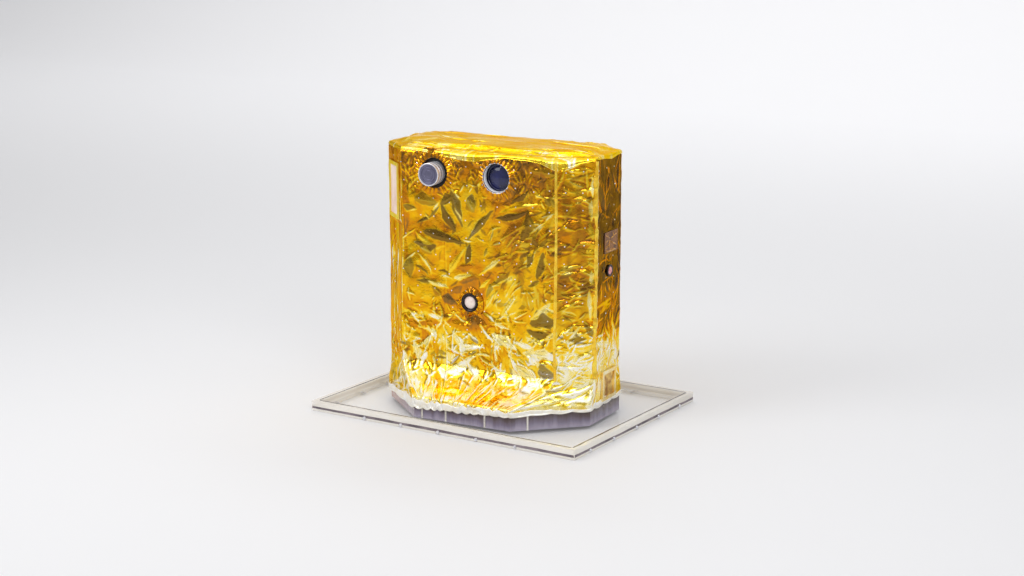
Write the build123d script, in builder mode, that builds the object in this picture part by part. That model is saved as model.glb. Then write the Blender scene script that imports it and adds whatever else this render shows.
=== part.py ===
"""A small space probe: an eight-sided body wrapped in gold film, on a dark riser in a clear tray.

Millimetres. The origin is the middle of the tray's underside, +Z is up, and the broad
face with the three round ports looks towards -Y. +X is to the right of that face.
"""

from build123d import *
import os
from math import hypot

# Body, measured over its film
body_half_width = 168.0      # to the two narrow end faces
body_half_depth = 80.0       # to the two broad faces
end_half_flat = 40.0         # half the width of an end face
broad_half_flat = 124.0      # half the width of a broad face
wrapped_height = 353.0       # from the riser's top to the shoulder
crown_height = 5.0           # how far the top puffs up over the shoulder
crown_inset = 42.0           # from the shoulder's edge to the flat of the crown
shoulder_drop = 2.5          # height of the sloped shoulder
shoulder_inset = 4.0         # width of the sloped shoulder
blanket_thickness = 4.0

# Skirt, where the blanket spreads over the riser
hem_height = 23.0            # above the surface that the tray stands on, at the middle
hem_slope = 0.034            # the hem climbs towards +X
hem_band_height = 5.0
hem_band_thickness = 0.8
skirt_edge_height = 2.0      # above the riser's top, where the blanket bends in
skirt_bend_height = 14.0
skirt_bend_share = 0.5       # share of the spread left at the bend
skirt_top_height = 40.0      # above the riser's top, where the spread ends
skirt_corner_spread = 7.0    # how far the corner faces move out there

# Riser
riser_half_depth = 126.0
riser_height = 29.0
strip_width = 2.6
strip_thickness = 0.8
broad_strip_places = (-0.83, -0.33, 0.48)    # from a broad face's middle, as shares of its half
corner_strip_places = (-0.57,)               # the same on a corner face

# Tray
tray_turn = -4.5             # degrees, the tray lies slightly turned under the probe
tray_length = 446.0
tray_width = 341.0
tray_floor_thickness = 5.0
rail_height = 14.4
rail_width = 10.0
screw_count = 5
screw_pitch = 64.0
screw_height = 3.0
screw_head_radius = 2.8
screw_head_height = 1.4
screw_head_taper = 25.0
screw_shank_radius = 1.25
screw_bite = 8.0             # how far the shank goes into the floor sheet

# Ports on the broad front face
upper_port_height = 353.0
left_port_x = -68.5
port_pitch = 100.0
left_hole_radius = 21.5
barrel_radius = 16.0
barrel_wall = 1.4
barrel_reach = 13.0          # how far it stands out of the film
barrel_floor = 3.0
cap_setback = 1.0
cap_groove_radii = (6.0, 10.5)
cap_groove_width = 0.8
cap_groove_depth = 0.6
collar_thickness = 1.5
right_hole_radius = 20.8
tube_wall = 1.6
tube_reach = 1.5
tube_depth = 30.0            # pocket behind the core's face
lens_thickness = 9.0
lens_crown = 3.0
rim_width = 2.2
rim_thickness = 1.0
centre_port_x = -11.4
centre_port_height = 171.0
centre_hole_radius = 13.5
centre_ring_wall = 3.8
centre_ring_reach = 3.0
centre_dome = 2.0
dome_taper = 60.0            # how fast a domed lens, disc or button narrows
slip = 0.2                   # clearance between round pieces that fit in each other

# Window on the narrow face left of the front
window_width = 43.0
window_height = 82.0
window_border = 5.5
window_centre_height = 320.0
window_frame_thickness = 2.2
window_panel_thickness = 1.2

# Fittings on the right end face
button_height = 221.0
button_ring_radius = 8.5
button_ring_wall = 2.6
button_ring_thickness = 2.4
button_thickness = 2.0
button_dome = 1.6
patch_width = 42.0
patch_tall = 30.0
patch_above_button = 41.0
patch_y = 5.0
patch_thickness = 0.8
hatch_size = 43.0
hatch_border = 5.0
hatch_height = 56.0
hatch_frame_thickness = 3.0
hatch_plate_thickness = 1.2

# Seam tapes folded round four upright edges
tape_wing = 6.0
tape_thickness = 0.6
tape_margin = 6.0            # left free above the skirt and below the shoulder

riser_bottom = tray_floor_thickness
riser_top = riser_bottom + riser_height
shoulder_height = riser_top + wrapped_height
core_top = shoulder_height - blanket_thickness
skirt_top = riser_top + skirt_top_height
skirt_spread = riser_half_depth + blanket_thickness - body_half_depth
corner_run = body_half_width - broad_half_flat
corner_rise = body_half_depth - end_half_flat
corner_length = hypot(corner_run, corner_rise)
right_port_x = left_port_x + port_pitch
patch_height = button_height + patch_above_button
hem_rise = hem_slope * body_half_width
blanket_bottom = hem_height - hem_rise - hem_band_height

# Faces of the body, in the order of the outline's corners
face_names = (
    "front",
    "front_right",
    "right",
    "back_right",
    "back",
    "back_left",
    "left",
    "front_left",
)

os.makedirs("parts", exist_ok=True)


def moved_inwards(points, distance):
    """Corners of a convex outline, listed anticlockwise, with every side moved inwards."""
    sides = []
    for (ax, ay), (bx, by) in zip(points, points[1:] + points[:1]):
        length = hypot(bx - ax, by - ay)
        nx, ny = (by - ay) / length, (ax - bx) / length
        sides.append((nx, ny, nx * ax + ny * ay - distance))
    corners = []
    for (ax, ay, ad), (bx, by, bd) in zip(sides[-1:] + sides[:-1], sides):
        det = ax * by - ay * bx
        corners.append(((ad * by - bd * ay) / det, (ax * bd - bx * ad) / det))
    return corners


def outline(spread_share=0.0, inset=0.0):
    """Eight corners round the body, anticlockwise from the left end of the front face.

    With the share, the broad faces and the corner faces move out by their own spreads, and
    the end faces stay.
    """
    depth = body_half_depth + skirt_spread * spread_share
    corner_out = skirt_corner_spread * spread_share
    flat = broad_half_flat - skirt_spread * spread_share * corner_run / corner_rise
    flat += corner_out * corner_length / corner_rise
    end = end_half_flat + corner_out * corner_length / corner_run
    front = [(-flat, -depth), (flat, -depth)]
    right = [(body_half_width, -end), (body_half_width, end)]
    back = [(flat, depth), (-flat, depth)]
    left = [(-body_half_width, end), (-body_half_width, -end)]
    return moved_inwards(front + right + back + left, inset)


def save(name, label):
    """Label a finished piece and write its file."""
    name.part.label = label
    export_step(name.part, f"parts/{label}.step")


def front_port(x, height):
    """Plane on the core's front face, centred on a port."""
    return Plane(
        origin=(x, blanket_thickness - body_half_depth, height),
        x_dir=(1, 0, 0),
        z_dir=(0, -1, 0),
    )


def tray_side(dx, dy, reach):
    """Plane of a tray side's outer face, its x along the side and its y upwards."""
    outward = Vector(dx, dy, 0).rotate(Axis.Z, tray_turn)
    return Plane(origin=outward * reach, x_dir=Vector(0, 0, 1).cross(outward), z_dir=outward)


# Planes that the fittings are built on
left_port_plane = front_port(left_port_x, upper_port_height)
right_port_plane = front_port(right_port_x, upper_port_height)
centre_port_plane = front_port(centre_port_x, centre_port_height)
right_face = Plane(origin=(body_half_width, 0, 0), x_dir=(0, 1, 0), z_dir=(1, 0, 0))
left_corner_face = Plane(
    origin=(-(body_half_width + broad_half_flat) / 2, -(body_half_depth + end_half_flat) / 2, 0),
    x_dir=(corner_run, -corner_rise, 0),
    z_dir=(-corner_rise, -corner_run, 0),
)
hem_plane = Plane(origin=(0, 0, hem_height), x_dir=(1, 0, hem_slope), z_dir=(-hem_slope, 0, 1))
tray_plane = Plane.XY.rotated((0, 0, tray_turn))

# Tray sides: name, plane of the outer face, length of the rail
floor_length = tray_length - 2 * rail_width
floor_width = tray_width - 2 * rail_width
tray_sides = (
    ("front", tray_side(0, -1, tray_width / 2), tray_length),
    ("right", tray_side(1, 0, tray_length / 2), floor_width),
    ("back", tray_side(0, 1, tray_width / 2), tray_length),
    ("left", tray_side(-1, 0, tray_length / 2), floor_width),
)

# Tray floor sheet, drilled from its edges
with BuildPart() as tray_floor:
    with BuildSketch(tray_plane):
        Rectangle(floor_length, floor_width)
    extrude(amount=tray_floor_thickness)
    for side, face, rail_length in tray_sides:
        with BuildSketch(face):
            with Locations((0, screw_height)):
                with GridLocations(screw_pitch, screw_pitch, screw_count, 1):
                    Circle(screw_shank_radius + slip)
        extrude(amount=-rail_width - screw_bite - slip, mode=Mode.SUBTRACT)
save(tray_floor, "tray_floor")

# Tray rails with their screws
for side, face, rail_length in tray_sides:
    with BuildPart() as rail:
        with BuildSketch(face):
            with Locations((0, rail_height / 2)):
                Rectangle(rail_length, rail_height)
        extrude(amount=-rail_width)
        with BuildSketch(face):
            with Locations((0, screw_height)):
                with GridLocations(screw_pitch, screw_pitch, screw_count, 1):
                    Circle(screw_shank_radius + slip)
        extrude(amount=-rail_width, mode=Mode.SUBTRACT)
    save(rail, f"tray_rail_{side}")
    with BuildPart() as screws:
        with BuildSketch(face):
            with Locations((0, screw_height)):
                with GridLocations(screw_pitch, screw_pitch, screw_count, 1):
                    Circle(screw_head_radius)
        extrude(amount=screw_head_height, taper=screw_head_taper)
        with BuildSketch(face):
            with Locations((0, screw_height)):
                with GridLocations(screw_pitch, screw_pitch, screw_count, 1):
                    Circle(screw_shank_radius)
        extrude(amount=-rail_width - screw_bite)
    save(screws, f"tray_screws_{side}")

# Riser under the probe, with bright strips over its upright joints
with BuildPart() as riser:
    with BuildSketch(Plane.XY.offset(riser_bottom)):
        Polygon(*outline(1.0, blanket_thickness), align=None)
    extrude(amount=riser_height)
save(riser, "riser")

riser_corners = outline(1.0, blanket_thickness)
for name, places in (
    ("front", broad_strip_places),
    ("front_right", corner_strip_places),
    ("back", broad_strip_places),
    ("back_left", corner_strip_places),
):
    first = face_names.index(name)
    start = Vector(*riser_corners[first])
    end = Vector(*riser_corners[first + 1])
    half = (end - start).length / 2
    along = (end - start).normalized()
    strip_face = Plane(
        origin=(start + end) / 2 + Vector(0, 0, riser_bottom + riser_height / 2),
        x_dir=along,
        z_dir=along.cross(Vector(0, 0, 1)),
    )
    with BuildPart() as strips:
        with BuildSketch(strip_face):
            with Locations(*[(place * half, 0) for place in places]):
                Rectangle(strip_width, riser_height)
        extrude(amount=strip_thickness)
        split(bisect_by=hem_plane, keep=Keep.BOTTOM)
    save(strips, f"riser_strips_{name}")

# Body core, pocketed behind the right port
with BuildPart() as core:
    with BuildSketch(Plane.XY.offset(riser_top)):
        Polygon(*outline(0.0, blanket_thickness), align=None)
    extrude(amount=core_top - riser_top)
    with BuildSketch(right_port_plane):
        Circle(right_hole_radius)
    extrude(amount=-tube_depth, mode=Mode.SUBTRACT)
save(core, "body_core")

# Side blankets, one for each face, mitred at the corners: height, share of the spread
blanket_levels = (
    (blanket_bottom, 1.0),
    (riser_top + skirt_edge_height, 1.0),
    (riser_top + skirt_bend_height, skirt_bend_share),
    (skirt_top, 0.0),
    (core_top, 0.0),
)
front_holes = (
    (left_port_plane, left_hole_radius),
    (right_port_plane, right_hole_radius),
    (centre_port_plane, centre_hole_radius),
)
for index, name in enumerate(face_names):
    following = (index + 1) % len(face_names)
    with BuildPart() as blanket:
        for height, share in blanket_levels:
            outer = outline(share)
            inner = outline(share, blanket_thickness)
            with BuildSketch(Plane.XY.offset(height)):
                Polygon(outer[index], outer[following], inner[following], inner[index], align=None)
        loft(ruled=True)
        split(bisect_by=hem_plane, keep=Keep.TOP)
        if name == "front":
            for plane, radius in front_holes:
                with BuildSketch(plane):
                    Circle(radius)
                extrude(amount=blanket_thickness, mode=Mode.SUBTRACT)
    save(blanket, f"blanket_{name}")

# Top blanket, with a sloped shoulder and a puffed crown: height, inset from the outline
top_levels = (
    (core_top, 0.0),
    (shoulder_height - shoulder_drop, 0.0),
    (shoulder_height, shoulder_inset),
    (shoulder_height + crown_height, crown_inset),
)
with BuildPart() as top_blanket:
    for height, inset in top_levels:
        with BuildSketch(Plane.XY.offset(height)):
            Polygon(*outline(0.0, inset), align=None)
    loft(ruled=True)
save(top_blanket, "blanket_top")

# Bright band along the hem
with BuildPart() as hem_band:
    with BuildSketch(Plane.XY.offset(blanket_bottom)):
        Polygon(*outline(1.0, -hem_band_thickness), align=None)
        Polygon(*outline(1.0), align=None, mode=Mode.SUBTRACT)
    extrude(amount=2 * hem_rise + 3 * hem_band_height)
    split(bisect_by=hem_plane, keep=Keep.TOP)
    split(bisect_by=hem_plane.offset(hem_band_height), keep=Keep.BOTTOM)
save(hem_band, "hem_band")

# Seam tapes over the two upright edges at the right of the front and their opposites
with BuildPart() as seam_tapes:
    corners = outline()
    grown = outline(0.0, -tape_thickness)
    for name in ("front_right", "right", "back_left", "left"):
        index = face_names.index(name)
        wings = []
        for ring in (corners, grown):
            x, y = ring[index]
            for other in (index - 1, (index + 1) % len(ring)):
                ox, oy = ring[other]
                share = tape_wing / hypot(ox - x, oy - y)
                wings.append((x + (ox - x) * share, y + (oy - y) * share))
        with BuildSketch(Plane.XY.offset(skirt_top + tape_margin)):
            Polygon(wings[0], corners[index], wings[1], wings[3], grown[index], wings[2], align=None)
    extrude(amount=core_top - skirt_top - 2 * tape_margin)
save(seam_tapes, "seam_tapes")

# Left port: a barrel that stands out, with a grooved cap, in a dark collar
with BuildPart() as barrel:
    with BuildSketch(left_port_plane):
        Circle(barrel_radius)
    extrude(amount=blanket_thickness + barrel_reach)
    with BuildSketch(left_port_plane.offset(barrel_floor)):
        Circle(barrel_radius - barrel_wall)
    extrude(amount=blanket_thickness + barrel_reach - barrel_floor, mode=Mode.SUBTRACT)
save(barrel, "left_port_barrel")

cap_face = left_port_plane.offset(blanket_thickness + barrel_reach - cap_setback)
with BuildPart() as cap:
    with BuildSketch(left_port_plane.offset(barrel_floor)):
        Circle(barrel_radius - barrel_wall - slip)
    extrude(amount=blanket_thickness + barrel_reach - cap_setback - barrel_floor)
    with BuildSketch(cap_face):
        for radius in cap_groove_radii:
            Circle(radius + cap_groove_width)
            Circle(radius, mode=Mode.SUBTRACT)
    extrude(amount=-cap_groove_depth, mode=Mode.SUBTRACT)
save(cap, "left_port_cap")

with BuildPart() as collar:
    with BuildSketch(left_port_plane):
        Circle(left_hole_radius - slip)
        Circle(barrel_radius + slip, mode=Mode.SUBTRACT)
    extrude(amount=collar_thickness)
save(collar, "left_port_collar")

# Right port: a sunk tube with a domed lens at its bottom and a thin rim
tube_length = tube_depth + blanket_thickness + tube_reach
pocket_floor = right_port_plane.offset(-tube_depth)
with BuildPart() as tube:
    with BuildSketch(pocket_floor):
        Circle(right_hole_radius - slip)
        Circle(right_hole_radius - slip - tube_wall, mode=Mode.SUBTRACT)
    extrude(amount=tube_length)
save(tube, "right_port_tube")

lens_radius = right_hole_radius - tube_wall - 2 * slip
with BuildPart() as lens:
    with BuildSketch(pocket_floor):
        Circle(lens_radius)
    extrude(amount=lens_thickness)
    with BuildSketch(pocket_floor.offset(lens_thickness)):
        Circle(lens_radius)
    extrude(amount=lens_crown, taper=dome_taper)
save(lens, "right_port_lens")

with BuildPart() as rim:
    with BuildSketch(right_port_plane.offset(blanket_thickness)):
        Circle(right_hole_radius + rim_width)
        Circle(right_hole_radius, mode=Mode.SUBTRACT)
    extrude(amount=rim_thickness)
save(rim, "right_port_rim")

# Centre port: a ring with a domed disc in it
with BuildPart() as centre_ring:
    with BuildSketch(centre_port_plane):
        Circle(centre_hole_radius - slip)
        Circle(centre_hole_radius - slip - centre_ring_wall, mode=Mode.SUBTRACT)
    extrude(amount=blanket_thickness + centre_ring_reach)
save(centre_ring, "centre_port_ring")

with BuildPart() as centre_disc:
    with BuildSketch(centre_port_plane):
        Circle(centre_hole_radius - centre_ring_wall - 2 * slip)
    extrude(amount=blanket_thickness)
    with BuildSketch(centre_port_plane.offset(blanket_thickness)):
        Circle(centre_hole_radius - centre_ring_wall - 2 * slip)
    extrude(amount=centre_dome, taper=dome_taper)
save(centre_disc, "centre_port_disc")

# Window on the left corner face
with BuildPart() as window_frame:
    with BuildSketch(left_corner_face):
        with Locations((0, window_centre_height)):
            Rectangle(window_width, window_height)
            Rectangle(
                window_width - 2 * window_border,
                window_height - 2 * window_border,
                mode=Mode.SUBTRACT,
            )
    extrude(amount=window_frame_thickness)
save(window_frame, "window_frame")

with BuildPart() as window_panel:
    with BuildSketch(left_corner_face):
        with Locations((0, window_centre_height)):
            Rectangle(window_width - 2 * window_border, window_height - 2 * window_border)
    extrude(amount=window_panel_thickness)
save(window_panel, "window_panel")

# Button, patch and hatch on the right end face
with BuildPart() as button_ring:
    with BuildSketch(right_face):
        with Locations((0, button_height)):
            Circle(button_ring_radius)
            Circle(button_ring_radius - button_ring_wall, mode=Mode.SUBTRACT)
    extrude(amount=button_ring_thickness)
save(button_ring, "button_ring")

with BuildPart() as button:
    with BuildSketch(right_face):
        with Locations((0, button_height)):
            Circle(button_ring_radius - button_ring_wall - slip)
    extrude(amount=button_thickness)
    with BuildSketch(right_face.offset(button_thickness)):
        with Locations((0, button_height)):
            Circle(button_ring_radius - button_ring_wall - slip)
    extrude(amount=button_dome, taper=dome_taper)
save(button, "button")

with BuildPart() as patch:
    with BuildSketch(right_face):
        with Locations((patch_y, patch_height)):
            Rectangle(patch_width, patch_tall)
    extrude(amount=patch_thickness)
save(patch, "side_patch")

with BuildPart() as hatch_frame:
    with BuildSketch(right_face):
        with Locations((0, hatch_height)):
            Rectangle(hatch_size, hatch_size)
            Rectangle(hatch_size - 2 * hatch_border, hatch_size - 2 * hatch_border, mode=Mode.SUBTRACT)
    extrude(amount=hatch_frame_thickness)
save(hatch_frame, "hatch_frame")

with BuildPart() as hatch_plate:
    with BuildSketch(right_face):
        with Locations((0, hatch_height)):
            Rectangle(hatch_size - 2 * hatch_border, hatch_size - 2 * hatch_border)
    extrude(amount=hatch_plate_thickness)
save(hatch_plate, "hatch_plate")
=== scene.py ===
import math

import bmesh
import bpy
import numpy as np
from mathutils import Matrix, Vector


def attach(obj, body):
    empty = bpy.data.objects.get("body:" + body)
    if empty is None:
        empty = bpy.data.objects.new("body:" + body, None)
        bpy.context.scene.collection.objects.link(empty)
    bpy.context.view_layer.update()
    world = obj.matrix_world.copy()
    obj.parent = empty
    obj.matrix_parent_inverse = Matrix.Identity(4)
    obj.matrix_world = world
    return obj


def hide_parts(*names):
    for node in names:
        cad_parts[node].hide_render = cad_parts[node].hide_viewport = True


# Looks of a small space probe: an eight-sided body in crinkled gold film, on a smoked riser in a
# clear tray. Lengths are millimetres in the row frame, and become metres where a mesh is made.
# The film is a relief map over the way round the body and the height, which several pieces share.

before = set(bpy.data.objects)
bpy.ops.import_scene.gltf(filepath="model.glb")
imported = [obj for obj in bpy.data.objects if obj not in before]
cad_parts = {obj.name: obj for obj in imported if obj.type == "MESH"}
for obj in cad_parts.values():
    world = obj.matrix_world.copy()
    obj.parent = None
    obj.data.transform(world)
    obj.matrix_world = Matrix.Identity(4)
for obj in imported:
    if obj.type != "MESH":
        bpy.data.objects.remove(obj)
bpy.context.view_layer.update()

MM = 0.001
MERGE_REACH = 0.004          # points nearer than this are one point

# Camera at the photograph's viewing angle, in metres, and the picture's size in pixels
CAMERA_PLACE = (1.373, -2.5346, 0.8383)
CAMERA_AIM = (-0.46075, 0.85892, -0.22353)
LENS = 71.72
SENSOR = 36.0
PICTURE = (1024, 576)

# Body outline, as the frame has it
HALF_WIDTH = 168.0
HALF_DEPTH = 80.0
END_HALF_FLAT = 40.0
BROAD_HALF_FLAT = 124.0
SKIRT_SPREAD = 50.0
SKIRT_CORNER_SPREAD = 7.0
CORNER_RUN = HALF_WIDTH - BROAD_HALF_FLAT
CORNER_RISE = HALF_DEPTH - END_HALF_FLAT
SKIRT = ((18.0, 1.0), (36.0, 1.0), (42.0, 0.78), (48.0, 0.5), (58.0, 0.22), (66.0, 0.08), (74.0, 0.0), (400.0, 0.0))
HEM_HEIGHT = 23.0
HEM_SLOPE = 0.034
SHOULDER = 387.0
CROWN = 392.0
CROWN_INSET = 42.0

# Way round the body: lengths of the eight faces, front first and anticlockwise seen from above
FACES = ("front", "front_right", "right", "back_right", "back", "back_left", "left", "front_left")
CORNER_FACE = math.hypot(CORNER_RUN, CORNER_RISE)
FACE_LENGTHS = np.array([2 * BROAD_HALF_FLAT, CORNER_FACE, 2 * END_HALF_FLAT, CORNER_FACE] * 2)
CORNER_PLACES = np.concatenate([[0.0], np.cumsum(FACE_LENGTHS)])
WAY_ROUND = CORNER_PLACES[-1]

# Ports on the front: x, height, hole radius
LEFT_PORT = (-68.5, 353.0, 21.5)
RIGHT_PORT = (31.5, 353.0, 20.8)
CENTRE_PORT = (-11.4, 171.0, 13.5)
PORTS = (LEFT_PORT, RIGHT_PORT, CENTRE_PORT)
PORT_FACE = -76.0            # y of the plane that the ports stand on
FILM_SINK = 1.3              # how far the film's middle lies inside the body outline

# Fittings: place round the body, height, half width, half height
WINDOW = (CORNER_PLACES[7] + CORNER_FACE / 2, 320.0, 21.5, 41.0)
BUTTON = (CORNER_PLACES[2] + END_HALF_FLAT, 221.0, 8.5, 8.5)
PATCH = (CORNER_PLACES[2] + END_HALF_FLAT + 5.0, 262.0, 21.0, 15.0)
HATCH = (CORNER_PLACES[2] + END_HALF_FLAT, 56.0, 21.5, 21.5)


# Meshes and materials

def linear(code):
    """sRGB hex as a linear RGBA colour."""
    parts = np.array([int(code[k:k + 2], 16) / 255 for k in (1, 3, 5)])
    lin = np.where(parts <= 0.04045, parts / 12.92, ((parts + 0.055) / 1.055) ** 2.4)
    return (*[float(v) for v in lin], 1.0)


def add(tree, kind, inputs=None, **settings):
    """Adds one node with its settings; each input takes a value or another node's output."""
    made = tree.nodes.new(kind)
    for key, value in settings.items():
        setattr(made, key, value)
    for key, value in (inputs or {}).items():
        if isinstance(value, bpy.types.NodeSocket):
            tree.links.new(value, made.inputs[key])
        else:
            made.inputs[key].default_value = value
    return made


def finish_of(name):
    """A new material with its shader; gives the material, its tree and the shader."""
    made = bpy.data.materials.new(name)
    made.use_nodes = True
    tree = made.node_tree
    tree.nodes.clear()
    shader = tree.nodes.new("ShaderNodeBsdfPrincipled")
    add(tree, "ShaderNodeOutputMaterial", {"Surface": shader.outputs["BSDF"]})
    return made, tree, shader


def surface(name, points, material, close=False, attributes=None, uv=None, sharp=None, cut=None, merge=False):
    """A mesh over a grid of points, rows by columns by three, in millimetres.

    Each cell of the grid is one face, except where all its corners are marked in cut. With
    close, the last column joins the first. With merge, points that meet become one.
    """
    rows, columns = points.shape[:2]
    index = np.arange(rows * columns).reshape(rows, columns)
    if close:
        index = np.concatenate([index, index[:, :1]], axis=1)
    quads = np.stack([index[:-1, :-1], index[:-1, 1:], index[1:, 1:], index[1:, :-1]], axis=-1).reshape(-1, 4)
    if cut is not None:
        quads = quads[~cut.ravel()[quads].all(axis=1)]
    mesh = bpy.data.meshes.new(name)
    mesh.vertices.add(rows * columns)
    mesh.vertices.foreach_set("co", (points * MM).astype(np.float32).ravel())
    mesh.loops.add(quads.size)
    mesh.loops.foreach_set("vertex_index", quads.ravel().astype(np.int32))
    mesh.polygons.add(len(quads))
    mesh.polygons.foreach_set("loop_start", np.arange(0, quads.size, 4, dtype=np.int32))
    mesh.update(calc_edges=True)
    if uv is not None:
        layer = mesh.uv_layers.new(name="film")
        layer.data.foreach_set("uv", uv.reshape(-1, 2)[quads.ravel()].astype(np.float32).ravel())
    for key, values in (attributes or {}).items():
        layer = mesh.attributes.new(key, "FLOAT", "POINT")
        layer.data.foreach_set("value", values.astype(np.float32).ravel())
    mesh.validate()
    if merge:
        body = bmesh.new()
        body.from_mesh(mesh)
        bmesh.ops.remove_doubles(body, verts=body.verts, dist=MERGE_REACH * MM)
        body.to_mesh(mesh)
        body.free()
    mesh.shade_smooth()
    if sharp is not None:
        mesh.set_sharp_from_angle(angle=math.radians(sharp))
    mesh.materials.append(material)
    piece = bpy.data.objects.new(name, mesh)
    bpy.context.scene.collection.objects.link(piece)
    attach(piece, "root")
    return piece


# Relief of the film

def cell_values(i, j, seed, around):
    """Repeatable values from -1 to 1 for whole-number cells; i comes round again after around."""
    i = np.mod(i, around)
    return 2 * np.mod(np.sin(i * 127.1 + j * 311.7 + seed * 74.7) * 43758.5453, 1.0) - 1


def swell(x, y, around, seed):
    """Smooth waves: cell values joined by curves that are level at each cell's corners."""
    i, j = np.floor(x), np.floor(y)
    u, v = x - i, y - j
    u, v = u * u * (3 - 2 * u), v * v * (3 - 2 * v)
    low = cell_values(i, j, seed, around) * (1 - u) + cell_values(i + 1, j, seed, around) * u
    high = cell_values(i, j + 1, seed, around) * (1 - u) + cell_values(i + 1, j + 1, seed, around) * u
    return low * (1 - v) + high * v


def facets(x, y, around, seed):
    """Flat triangles: cell values joined by straight lines, each cell halved along one diagonal."""
    i, j = np.floor(x), np.floor(y)
    u, v = x - i, y - j
    a, b = cell_values(i, j, seed, around), cell_values(i + 1, j, seed, around)
    c, d = cell_values(i, j + 1, seed, around), cell_values(i + 1, j + 1, seed, around)
    falling = np.where(u + v < 1, a + u * (b - a) + v * (c - a), d + (1 - u) * (c - d) + (1 - v) * (b - d))
    rising = np.where(u > v, a + u * (b - a) + v * (d - b), a + v * (c - a) + u * (d - c))
    return np.where(cell_values(i, j, seed + 31, around) > 0, falling, rising)


CREASE_BEND = 0.42           # bend of a full crease, per millimetre
LEAF_EDGE = 1.0              # softness of a coloured leaf's edge


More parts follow.
